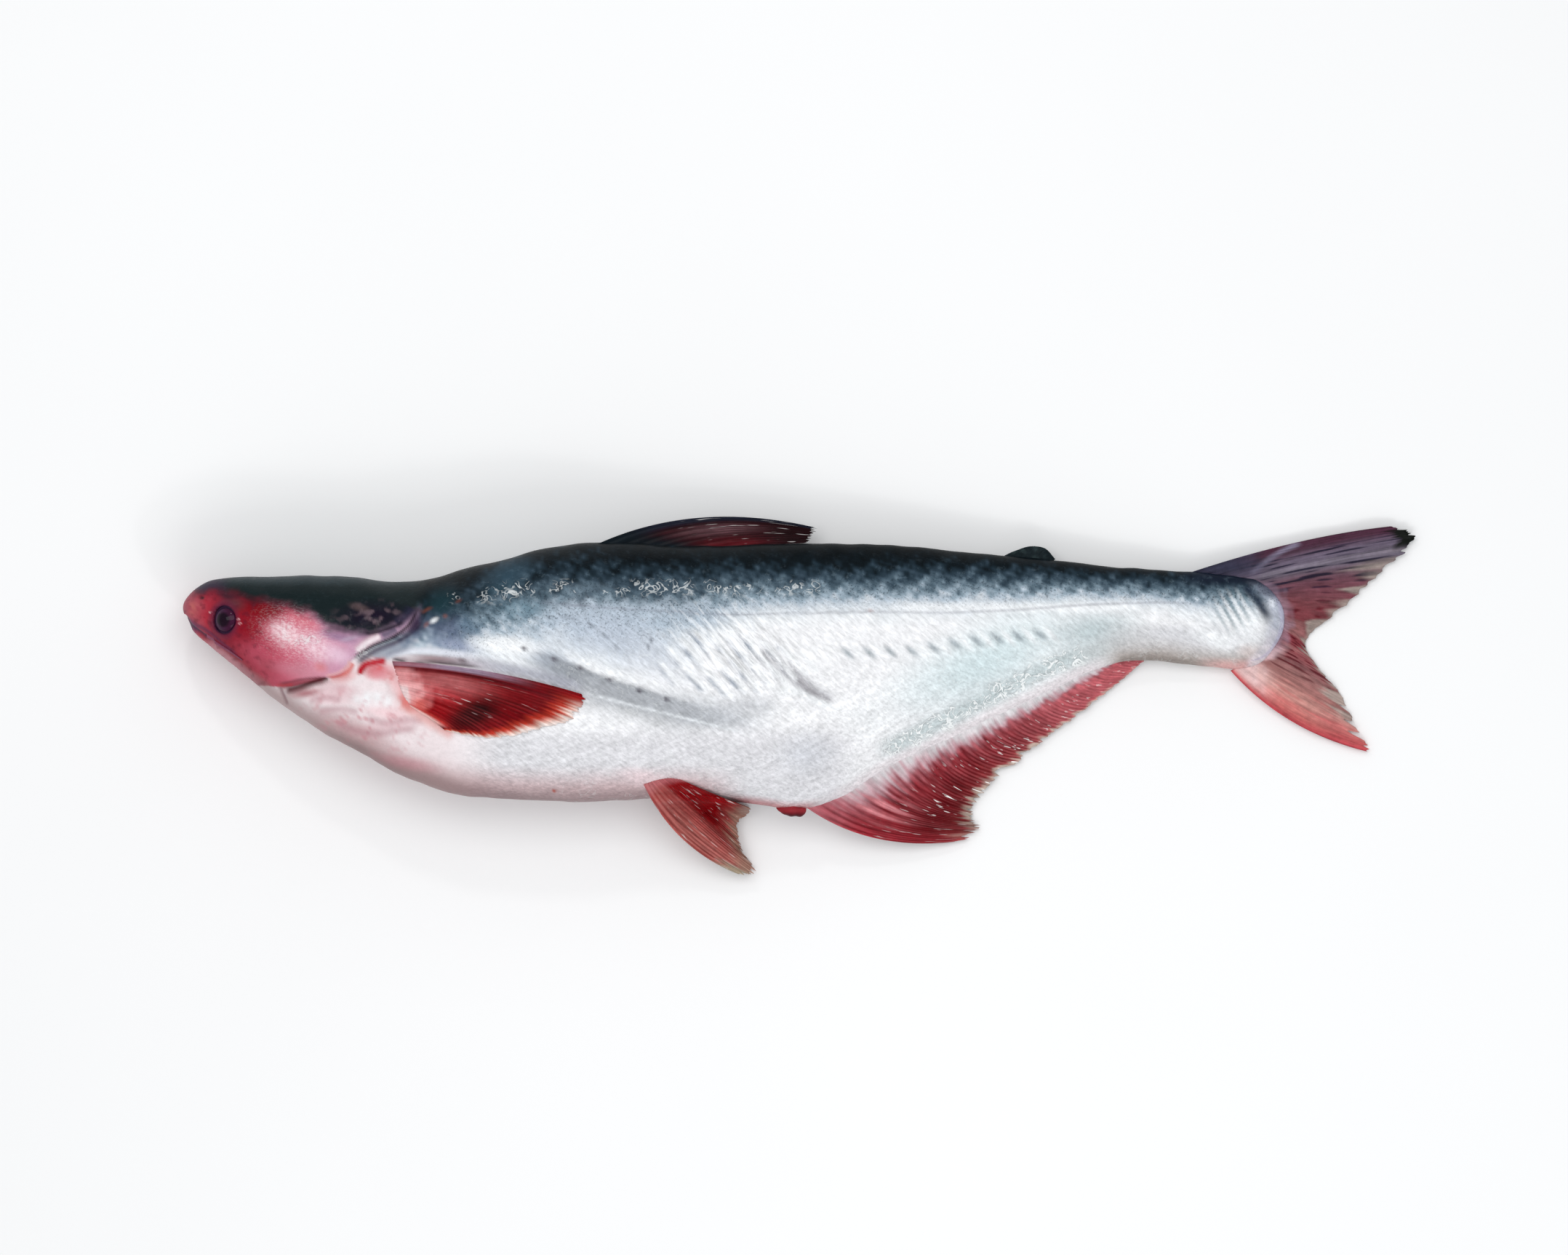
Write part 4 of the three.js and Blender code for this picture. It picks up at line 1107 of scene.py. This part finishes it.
def pelvic_tint(fin, u, v, x, y, ridge):
    paint = Paint((158, 66, 64), u, v)
    paint.over((186, 100, 92), 0.6 * smooth(u, 0.4, 0.1) * smooth(v, 0.15, 0.5))
    paint.over((130, 0, 6), 1.25 * smooth(u, 0.34, 0.54) * smooth(v, 0.88, 0.6))
    paint.over((84, 20, 24), 0.55 * (1 - ridge) * smooth(v, 0.1, 0.4))
    paint.over((216, 146, 138), 0.4 * ridge * fin.per_ray(u, 2) * smooth(u, 0.5, 0.3))
    grey = smooth(v + 0.05 * waves(u * 100, v, 12, 81), 0.78, 0.97)
    paint.over((168, 152, 132), grey * (0.5 + 0.5 * smooth(u, 0.25, 0.05)))
    paint.over((206, 130, 136), 0.5 * smooth(v, 0.14, 0.02))
    return paint.tint


def pectoral_tint(fin, u, v, x, y, ridge):
    paint = Paint((130, 0, 8), u, v)
    paint.spot((168, 88, 90), 1.1, 0.3, 0.3, 0.26, 0.4)
    paint.spot((184, 62, 68), 0.6, 0.5, 0.28, 0.18, 0.3)
    paint.over((98, 0, 8), 0.7 * window(v, 0.35, 0.7, 0.85, 0.95))
    paint.over((24, 0, 2), 1.2 * oval(x, y, 134, -44, 18, 9, 22))
    paint.over((60, 0, 6), 0.3 * (1 - ridge) * smooth(v, 0.3, 0.6))
    paint.over((190, 64, 68), 0.25 * ridge * fin.per_ray(u, 2))
    edge = v + 0.03 * fin.per_ray(u, 3) + 0.02 * waves(u * 200, v, 5, 62)
    paint.over((190, 58, 40), 0.8 * smooth(edge, 0.84, 0.94) * smooth(u, 0.02, 0.15))
    paint.over((228, 190, 176), 0.95 * smooth(edge, 0.92, 1.0) * smooth(u, 0.05, 0.2))
    paint.over((238, 228, 224), 0.8 * smooth(edge, 0.97, 1.02) * smooth(u, 0.05, 0.2))
    paint.over((92, 0, 12), 0.95 * bump((u - 0.13) / 0.07) * window(v, 0.02, 0.1, 0.7, 1))
    paint.over((146, 128, 148), 0.95 * smooth(u, 0.11, 0.06) * smooth(v, 0.8, 0.4))
    paint.over((150, 96, 108), 0.9 * smooth(u, 0.11, 0.06) * smooth(v, 0.3, 0.1))
    root = v + 0.03 * waves(x, y, 5, 63)
    paint.over((206, 112, 114), 0.9 * smooth(root, 0.32, 0.14) * smooth(u, 0.28, 0.45))
    paint.over((240, 184, 184), 0.95 * smooth(root, 0.2, 0.08) * smooth(u, 0.3, 0.5))
    paint.over((222, 150, 152), 0.9 * smooth(root, 0.15, 0.05) * smooth(u, 0.08, 0.2))
    paint.over((240, 216, 216), 0.9 * smooth(root, 0.1, 0.04) * smooth(u, 0.4, 0.6))
    paint.spot((214, 100, 92), 0.8, 0.85, 0.16, 0.26, 0.16)
    paint.over((190, 54, 48), 0.8 * smooth(u, 0.86, 0.95) * smooth(v, 0.9, 0.6))
    paint.over((234, 196, 190), 0.9 * smooth(u, 0.93, 1) * smooth(v, 0.9, 0.5))
    return paint.tint


def anal_wetness(u, v):
    outer = 0.9 * oval(u, v, 0.45, 0.92, 0.3, 0.3) + 0.4 * oval(u, v, 0.25, 0.7, 0.3, 0.3)
    return 0.35 * smooth(v, 0.2, 0.5) + outer


CAUDAL = Fin(
    root=[
        (462, 21), (478, 18), (491, 14), (497, 8), (499, -1), (498, -9), (494, -15), (488, -20), (481, -24),
    ],
    middle=[
        (511.5, 35), (517, 28), (519, 20), (515, 7.5), (509, -6), (511, -15.5), (513, -24.5), (512, -35),
        (509.5, -47.5),
    ],
    tip=[
        (556, 42.5), (565.5, 37.5), (552.5, 24), (534, 6), (515.5, -11), (521, -22), (531.5, -34.5),
        (539, -50), (545, -61.5),
    ],
    rays=28,
    tear=0.04,
    bites=(
        (0.3, 0.012, 0.03), (0.4, 0.015, 0.05), (0.69, 0.02, 0.08), (0.81, 0.012, 0.09), (0.87, 0.012, 0.1),
        (0.92, 0.02, 0.09),
    ),
    height=lambda u, v, x, y: midplane(x) - 1 + 1.4 * v * np.cos(5 * u),
    tint=caudal_tint,
    wet=lambda u, v: 0.04 + 0 * u,
    root_thickness=2,
    ray_height=0.7,
    seed=5,
)
ANAL = Fin(
    root=[
        (285, -86), (304, -77.5), (322, -66.5), (340, -57.5), (358, -49.5), (376, -41), (394, -32.5),
        (412, -24.5), (431, -15.5),
    ],
    middle=[
        (318, -101), (331, -92), (339, -82.5), (350, -71), (366, -60.8), (383.5, -50), (402, -39.6),
        (420, -28.8), (437, -17.6),
    ],
    tip=[
        (357, -102.3), (366, -96.3), (361.5, -90.5), (367.5, -79.5), (382, -66), (396, -55), (413, -42.5),
        (430, -29), (442, -18.9),
    ],
    rays=42,
    tear=0.06,
    bites=(
        (0.06, 0.03, 0.05), (0.18, 0.02, 0.04), (0.46, 0.02, 0.08), (0.54, 0.012, 0.07),
        (0.62, 0.015, 0.06),
    ),
    height=drooping(3.2),
    tint=anal_tint,
    wet=anal_wetness,
    ray_height=0.7,
    seed=6,
)
DORSAL = Fin(
    root=[(190, 34), (204, 32), (219, 31), (232, 30)],
    middle=[(238, 46.3), (243, 42.5), (250, 38), (258, 33)],
    tip=[(291, 41.5), (290, 40), (288, 38), (285, 34.5)],
    rays=7,
    tear=0.03,
    height=lambda u, v, x, y: midplane(x) - 0.9 * np.maximum(y - back(x), -2),
    tint=dorsal_tint,
    root_thickness=2.6,
    ray_height=1.4,
    spine=2.2,
    wet=lambda u, v: 0.5 * smooth(v, 0.2, 0.5),
    seed=7,
)
ADIPOSE = Fin(
    root=[(373, 26.5), (380, 25.5), (387, 24.5), (394, 23.5)],
    middle=[(376.5, 28.6), (384.5, 29.8), (392.5, 29), (398, 25.3)],
    tip=[(380.5, 30.6), (388.5, 33.1), (395.5, 32.2), (400.3, 27.3)],
    rays=8,
    tear=0.01,
    height=lambda u, v, x, y: midplane(x) - 1.5 * v,
    tint=adipose_tint,
    root_thickness=2.6,
    ray_height=0.2,
    wave=0.1,
    wet=lambda u, v: 0 * u,
    seed=8,
)


def pelvic(side):
    """A pelvic fin that hangs limply from the belly's edge. The upper one lies clear of the body."""
    lowest_root, clearance, buried = -76, 1.8, 2.4
    tip_height = 9 if side > 0 else 2

    def height(u, v, x, y):
        root = skin_over(x, np.maximum(y, lowest_root), side)[..., 2]
        limp = root + (tip_height - root) * v**0.7
        over_body = smooth(y - belly(x), -6, 0) * (side > 0)
        clear = skin_over(x, np.maximum(y, belly(x) + 2), side)[..., 2] + clearance
        return limp + np.maximum(clear - limp, 0) * over_body - buried * (1 - v) ** 8

    return Fin(
        root=[(211.5, -76), (215.5, -74.5), (219.5, -73.5), (223.5, -73), (228, -73.5)],
        middle=[(229.5, -101.5), (234, -93), (237, -88), (239, -84), (244, -80.5)],
        tip=[(256, -118), (262, -116), (256, -106), (254, -96), (260, -87)],
        rays=13,
        tear=0.05,
        height=height,
        tint=pelvic_tint,
        spine=1,
        wet=lambda u, v: 0.4 * smooth(v, 0.05, 0.3),
        root_thickness=1.2,
        seed=9,
    )


def pectoral(side):
    """A pectoral fin that lies flat on the flank."""
    return Fin(
        root=[(97, -19.5), (98.5, -25), (100, -30), (102, -35), (105, -40)],
        middle=[(141, -24.3), (139, -31), (133, -38.5), (124, -44), (115, -46.5)],
        tip=[(185, -35), (179, -44.8), (161, -51), (140, -54.6), (121, -51.2)],
        rays=14,
        tear=0.03,
        height=lambda u, v, x, y: skin_over(x, y, side)[..., 2] + side * (0.7 - 1.8 * (1 - v) ** 8),
        tint=pectoral_tint,
        root_thickness=1.2,
        ray_height=0.35,
        spine=2.6,
        wave=0.15,
        wet=lambda u, v: 0.5 * oval(u, v, 0.4, 0.5, 0.4, 0.5),
        seed=10,
    )


def frame_of(normal):
    """Two directions at right angles to a direction and to each other."""
    first = np.cross([0, 1, 0], normal)
    first /= np.linalg.norm(first)
    return first, np.cross(normal, first)


def ball_points(centre, axes, rows=64, columns=96):
    """Rings of a ball whose three half axes are vectors. The last axis runs through its poles."""
    polar = np.linspace(0.01, np.pi - 0.01, rows)[:, None, None]
    round_ = np.linspace(0, 2 * np.pi, columns, endpoint=False)[None, :, None]
    a, b, c = axes
    return centre + np.sin(polar) * (np.cos(round_) * a + np.sin(round_) * b) + np.cos(polar) * c


def make_eyeball(side, name):
    """A glossy eyeball with a dark iris and a black pupil under a clear cornea."""
    centre, normal = eye_place(side)
    first, second = frame_of(normal)
    radius, depth = EYE["radius"], EYE["depth"]
    points = ball_points(centre, (radius * first, radius * second, depth * normal))
    away = points - centre
    reach = np.linalg.norm(np.cross(away, normal), axis=-1)
    points = points + (0.5 * bump(reach / PUPIL_RADIUS) * (away @ normal > 0))[..., None] * normal
    piece = tube(f"eyeball_{name}", points)
    iris = Paint((60, 18, 46), away[..., 0], away[..., 1])
    iris.over((78, 52, 84), 0.4 * bump((reach - 4) / 1.4) * smooth(away[..., 0], 1, -3))
    iris.over((18, 6, 20), 0.9 * smooth(reach, PUPIL_RADIUS, 2.4))
    tint = iris.tint.reshape(-1, 3)
    set_colour(piece, np.concatenate([tint, tint[:1], tint[-1:]]))
    finish_piece(piece, eye_material(), f"eye_{name}")


def make_eyelid(side, name):
    """The soft ring of skin that the eyeball looks out of."""
    centre, normal = eye_place(side)
    first, second = frame_of(normal)
    angle = np.linspace(0, 2 * np.pi, 96, endpoint=False)
    ring = centre + EYELID_RADIUS * (np.cos(angle)[:, None] * first + np.sin(angle)[:, None] * second)
    outward = ring - centre
    outward /= np.linalg.norm(outward, axis=-1, keepdims=True)
    sunk, half_width, flatness = 0.2, 0.95, 0.7
    skin = skin_over(ring[:, 0], ring[:, 1], side) - sunk * normal
    turn = np.linspace(0, 2 * np.pi, 14, endpoint=False)[None, :, None]
    half = half_width + 0.12 * waves(angle * 3, 0 * angle, 2.5, 91)
    round_section = np.cos(turn) * outward[:, None] + flatness * np.sin(turn) * normal
    rings = skin[:, None] + half[:, None, None] * round_section
    lid = closed_ring(f"eyelid_{name}", rings)
    set_colour(lid, skin_paint(rings[..., 0], rings[..., 1]))
    set_values(lid, PLAIN_SKIN)
    finish_piece(lid, skin_material(), "fish")


def closed_ring(name, rings):
    """A tube of rings[i][j] whose last ring joins its first."""
    rows, columns, _ = rings.shape
    i, j = np.mgrid[0:rows, 0:columns]
    n, k = (i + 1) % rows, (j + 1) % columns
    quads = np.stack([i * columns + j, n * columns + j, n * columns + k, i * columns + k], -1)
    u0, u1, v0, v1 = i / rows, (i + 1) / rows, j / columns, (j + 1) / columns
    uv = np.stack([u0, v0, u1, v0, u1, v1, u0, v1], -1).reshape(-1, 2)
    return add_mesh(name, rings.reshape(-1, 3), quads.reshape(-1, 4).tolist(), uv)


def make_barbel(side, name):
    """A short whisker along the cheek behind the corner of the mouth."""
    share = np.linspace(0, 1, 40)
    line = curve(BARBEL_LINE)(share)
    x, y = line[:, 0], line[:, 1]
    lift, root_radius, tip_radius = 0.3, 1, 0.35
    middle = skin_over(x, y, side) + (lift + detail(x, y))[:, None] * skin_normal(x, y, side)
    radius = root_radius + share * (tip_radius - root_radius)
    angle = np.linspace(0, 2 * np.pi, 12, endpoint=False)
    across = np.stack([0 * angle, np.cos(angle), np.sin(angle)], -1)
    piece = tube(f"barbel_{name}", middle[:, None] + radius[:, None, None] * across[None])
    count = len(piece.data.vertices)
    set_colour(piece, srgb((136, 76, 98)) * np.linspace(1.1, 0.8, count)[:, None])
    set_values(piece, PLAIN_SKIN)
    finish_piece(piece, skin_material(), "fish")


def make_papilla():
    """The small fleshy papilla in front of the anal fin."""
    turn = PAPILLA["turn"]
    axes = (
        PAPILLA["half_length"] * np.array([np.cos(turn), np.sin(turn), 0]),
        PAPILLA["half_width"] * np.array([-np.sin(turn), np.cos(turn), 0]),
        PAPILLA["half_height"] * np.array([0, 0, 1]),
    )
    centre = np.array([PAPILLA["x"], PAPILLA["y"], float(midplane(PAPILLA["x"]))])
    points = ball_points(centre, axes, 40, 60)
    points += 0.25 * waves(points[..., 0], points[..., 1], 4, 95)[..., None] * np.array([0, 1, 0.5])
    piece = tube("papilla", points)
    paint = Paint((150, 44, 52), points[..., 0], points[..., 1])
    paint.over((60, 14, 22), 0.9 * smooth(points[..., 1], -88, -90.5))
    tint = paint.tint.reshape(-1, 3)
    set_colour(piece, np.concatenate([tint, tint[:1], tint[-1:]]))
    set_values(piece, {"wet": 0, "ray": 0.5, "out": 0.5})
    finish_piece(piece, fin_material(), "fish")


def finish_piece(piece, material, node):
    piece.data.materials.append(material)
    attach(piece, "root")
    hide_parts(node)


def feed(tree, socket, value):
    """Links a socket to another, or sets its value."""
    if isinstance(value, bpy.types.NodeSocket):
        tree.links.new(value, socket)
    else:
        socket.default_value = value


def feed_all(tree, node, inputs):
    for key, value in inputs.items():
        feed(tree, node.inputs[key], value)


def add_node(tree, kind, inputs=None, **settings):
    node = tree.nodes.new(kind)
    for key, value in settings.items():
        setattr(node, key, value)
    feed_all(tree, node, inputs or {})
    return node


def start_material(name):
    material = bpy.data.materials.new(name)
    material.use_nodes = True
    tree = material.node_tree
    place = add_node(tree, "ShaderNodeTexCoord").outputs["Object"]
    return material, tree, tree.nodes["Principled BSDF"], place


def noise(tree, place, scale, octaves=3, roughness=0.6, distortion=0.0):
    inputs = {"Vector": place, "Scale": scale, "Detail": octaves, "Roughness": roughness}
    inputs["Distortion"] = distortion
    return add_node(tree, "ShaderNodeTexNoise", inputs).outputs["Fac"]


def ramp(tree, value, low, high, out_low=0.0, out_high=1.0):
    inputs = {"Value": value, "From Min": low, "From Max": high, "To Min": out_low, "To Max": out_high}
    return add_node(tree, "ShaderNodeMapRange", inputs).outputs["Result"]


def maths(tree, operation, a, b=0.0):
    return add_node(tree, "ShaderNodeMath", {0: a, 1: b}, operation=operation).outputs[0]


def product(tree, *values):
    total = values[0]
    for value in values[1:]:
        total = maths(tree, "MULTIPLY", total, value)
    return total


def mix_colour(tree, share, a, b):
    node = add_node(tree, "ShaderNodeMix", data_type="RGBA")
    feed_all(tree, node, {0: share, 6: a, 7: b})
    return node.outputs[2]


def tone(tree, colour, share):
    """A colour made darker or lighter by a share."""
    node = add_node(tree, "ShaderNodeVectorMath", {0: colour}, operation="SCALE")
    feed(tree, node.inputs["Scale"], share)
    return node.outputs[0]


def attribute(tree, name, output="Fac"):
    return add_node(tree, "ShaderNodeAttribute", attribute_name=name).outputs[output]


def streaks(tree, place, degrees, stretch, scale, octaves=3):
    """Noise drawn out into streaks that run at an angle to the fish's length."""
    turned = add_node(
        tree, "ShaderNodeMapping",
        {"Vector": place, "Rotation": (0, 0, np.radians(degrees)), "Scale": (stretch, 1, 1)},
        vector_type="TEXTURE",
    )
    return noise(tree, turned.outputs[0], scale, octaves, 0.6, 0.4)


def glints(tree, place, wet):
    """Thin curly lines, broken up, where slime ripples catch the light, and their shaded sides."""
    swirl = maths(tree, "ABSOLUTE", maths(tree, "SUBTRACT", noise(tree, place, 190, 1, 0.5, 1.5), 0.5))
    patchy = maths(tree, "ADD", noise(tree, place, 130, 2, 0.5), ramp(tree, wet, 0.8, 1.2, 0, 0.12))
    strength = product(tree, ramp(tree, patchy, 0.5, 0.56), ramp(tree, wet, 0.3, 0.9))
    lines = product(tree, ramp(tree, swirl, 0.05, 0.02), strength)
    sides = product(tree, ramp(tree, swirl, 0.13, 0.06), strength)
    return lines, sides


def varied(tree, colour, pattern, mask, amount):
    """A colour made darker and lighter by up to a share where a mask is 1."""
    change = product(tree, ramp(tree, pattern, 0.3, 0.7, -amount, amount), mask)
    return tone(tree, colour, maths(tree, "ADD", change, 1.0))


def bumped(tree, height, distance, strength, normal=None):
    inputs = {"Height": height, "Distance": distance, "Strength": strength}
    if normal is not None:
        inputs["Normal"] = normal
    return add_node(tree, "ShaderNodeBump", inputs).outputs["Normal"]


@cache
def skin_material():
    """Wet scaleless skin: pigment specks on the back, a fibrous sheen on the flank and slime glints."""
    material, tree, shader, place = start_material("wet_skin")
    wet, speckle, ribs, fibre, low, flecks = (attribute(tree, name) for name in PLAIN_SKIN)
    fine = noise(tree, place, 1000, 3, 0.7)
    coarse = noise(tree, place, 300, 4, 0.7)
    flank_streaks = streaks(tree, place, -38, 4, 800)
    belly_streaks = streaks(tree, place, 22, 4, 500)
    wrinkles = streaks(tree, place, 26, 5, 150, 3)
    rib_streaks = streaks(tree, place, -50, 9, 600, 3)
    cheek_streaks = streaks(tree, place, -10, 3, 1700)
    bright, shaded = glints(tree, place, wet)
    colour = attribute(tree, "tint", "Color")
    for pattern, mask, amount in (
        (coarse, 1.0, 0.06), (fine, 1.0, 0.06), (flank_streaks, fibre, 0.18), (belly_streaks, low, 0.09),
        (wrinkles, low, 0.07), (rib_streaks, ribs, 0.35),
    ):
        colour = varied(tree, colour, pattern, mask, amount)
    for pattern, low_end, high_end, mask, amount, laid_over in (
        (fine, 0.52, 0.66, speckle, 0.6, (0.01, 0.02, 0.03, 1)),
        (coarse, 0.56, 0.7, speckle, 0.14, (0.4, 0.55, 0.66, 1)),
        # painted highlights: white over the rib streaks
        (rib_streaks, 0.54, 0.6, ribs, 0.6, (1, 1, 1, 1)),
        (cheek_streaks, 0.48, 0.64, flecks, 0.42, (1, 0.88, 0.9, 1)),
        (cheek_streaks, 0.5, 0.36, flecks, 0.35, (0.5, 0.1, 0.15, 1)),
    ):
        share = product(tree, ramp(tree, pattern, low_end, high_end), mask, amount)
        colour = mix_colour(tree, share, colour, laid_over)
    colour = tone(tree, colour, ramp(tree, shaded, 0, 1, 1, 0.8))
    colour = mix_colour(tree, bright, colour, (0.97, 1, 1, 1))
    normal = bumped(tree, fine, 0.0003, 0.2)
    ripples = noise(tree, place, 260, 1, 0.5, 1.5)
    for height, distance, mask, amount in (
        (flank_streaks, 0.0005, fibre, 0.4), (rib_streaks, 0.0012, ribs, 0.5), (wrinkles, 0.002, low, 0.5),
        (ripples, 0.0012, wet, 0.6),
    ):
        normal = bumped(tree, height, distance, product(tree, mask, amount), normal)
    feed_all(tree, shader, {
        "Base Color": colour,
        "Normal": normal,
        "Coat Normal": normal,
        "Roughness": ramp(tree, coarse, 0.3, 0.7, 0.34, 0.5),
        "Coat Weight": ramp(tree, wet, 0, 1, 0.05, 0.3),
        "Specular IOR Level": 0.03,
        "Coat Roughness": 0.1,
    })
    return material


@cache
def fin_material():
    """Wet membrane over soft rays, with streaks and glints that run along them."""
    material, tree, shader, place = start_material("wet_fin")
    wet, ray, out = (attribute(tree, name) for name in ("wet", "ray", "out"))

    def along_rays(across, outward, octaves, roughness):
        inputs = {0: product(tree, ray, across), 1: product(tree, out, outward), 2: 0.5}
        vector = add_node(tree, "ShaderNodeCombineXYZ", inputs).outputs[0]
        return noise(tree, vector, 1, octaves, roughness)

    blotch = noise(tree, place, 260, 5, 0.7)
    fibres = along_rays(2.6, 3, 3, 0.6)
    shine = product(tree, ramp(tree, along_rays(3.2, 6, 1, 0.5), 0.67, 0.71), ramp(tree, wet, 0.1, 0.9))
    colour = attribute(tree, "tint", "Color")
    colour = varied(tree, colour, blotch, 1.0, 0.16)
    colour = varied(tree, colour, fibres, ramp(tree, out, 0.05, 0.4, 0.4, 1), 0.34)
    colour = mix_colour(tree, shine, colour, (1, 0.96, 0.94, 1))
    normal = bumped(tree, blotch, 0.0007, 0.35)
    normal = bumped(tree, fibres, 0.0006, 0.5, normal)
    feed_all(tree, shader, {
        "Base Color": colour,
        "Normal": normal,
        "Coat Normal": normal,
        "Roughness": ramp(tree, blotch, 0.3, 0.7, 0.44, 0.3),
        "Specular IOR Level": 0.03,
        "Coat Weight": 0.06,
        "Coat Roughness": 0.08,
    })
    return material


@cache
def eye_material():
    material, tree, shader, place = start_material("wet_eye")
    cloud = noise(tree, place, 500, 3, 0.6)
    colour = tone(tree, attribute(tree, "tint", "Color"), ramp(tree, cloud, 0.3, 0.7, 0.8, 1.25))
    feed_all(tree, shader, {
        "Base Color": colour,
        "Specular IOR Level": 0.05,
        "Roughness": 0.15,
        "Coat Weight": 0.15,
        "Coat Roughness": 0.03,
    })
    return material


@cache
def floor_material():
    material, tree, shader, place = start_material("pale_floor")
    shade = ramp(tree, noise(tree, place, 3, 2, 0.5), 0.3, 0.7, 0.98, 1.0)
    colour = add_node(tree, "ShaderNodeCombineColor", dict.fromkeys(range(3), shade)).outputs[0]
    feed_all(tree, shader, {"Base Color": colour, "Specular IOR Level": 0.1, "Roughness": 0.8})
    return material


def make_floor():
    half_m = 15
    corners = [(half_m * i, half_m * j, 0) for i, j in ((-1, -1), (1, -1), (1, 1), (-1, 1))]
    mesh = bpy.data.meshes.new("floor")
    mesh.from_pydata(corners, [], [(0, 1, 2, 3)])
    floor = bpy.data.objects.new("floor", mesh)
    bpy.context.scene.collection.objects.link(floor)
    mesh.materials.append(floor_material())


def make_camera():
    """Straight above the fish, framed as the photograph."""
    photo_size = np.array([2156, 1725])
    snout_pixel = np.array([251, 850])
    pixels_per_mm = 3
    mid_height = 30
    middle = (photo_size / 2 - snout_pixel) * [1, -1] / pixels_per_mm
    camera = bpy.data.cameras.new("camera")
    camera.sensor_width = 36
    camera.lens = 400
    distance = camera.lens / camera.sensor_width * photo_size[0] / pixels_per_mm
    place = bpy.data.objects.new("camera", camera)
    place.location = to_row([*middle, mid_height + distance])
    bpy.context.scene.collection.objects.link(place)
    bpy.context.scene.camera = place


def make_light(name, size, power, location):
    light = bpy.data.lights.new(name, "AREA")
    light.shape = "RECTANGLE"
    light.size, light.size_y = size
    light.energy = power
    place = bpy.data.objects.new(name, light)
    place.location = location
    place.rotation_euler = (-Vector(location)).to_track_quat("-Z", "Y").to_euler()
    bpy.context.scene.collection.objects.link(place)


# Name, size in metres, power in watts and place of each light.
LIGHTS = [
    ("softbox", (1.4, 0.9), 10.6, (-0.1, 0.45, 1.7)),
    ("fill", (1.2, 0.5), 4, (0.2, -1.0, 1.2)),
    ("spark", (0.1, 0.1), 1.2, (-0.3, 1.0, 1.1)),
    ("low_spark", (0.1, 0.1), 1.0, (0.45, -0.9, 1.0)),
]


def make_lights():
    for light in LIGHTS:
        make_light(*light)
    world = bpy.data.worlds.new("studio")
    bpy.context.scene.world = world
    world.use_nodes = True
    background = world.node_tree.nodes["Background"]
    feed_all(world.node_tree, background, {"Color": (0.96, 0.98, 1, 1), "Strength": 0.54})
    bpy.context.scene.view_settings.view_transform = "Standard"


def make_fish():
    make_body()
    for name, fin in (("tail_fin", CAUDAL), ("anal_fin", ANAL), ("dorsal_fin", DORSAL)):
        make_fin(name, fin)
    make_fin("adipose_fin", ADIPOSE)
    for side, name in ((1, "left"), (-1, "right")):
        make_fin(f"pelvic_fin_{name}", pelvic(side))
        make_fin(f"pectoral_fin_{name}", pectoral(side))
        make_eyeball(side, name)
        make_eyelid(side, name)
        make_barbel(side, name)
    make_papilla()


make_fish()
make_floor()
make_camera()
make_lights()
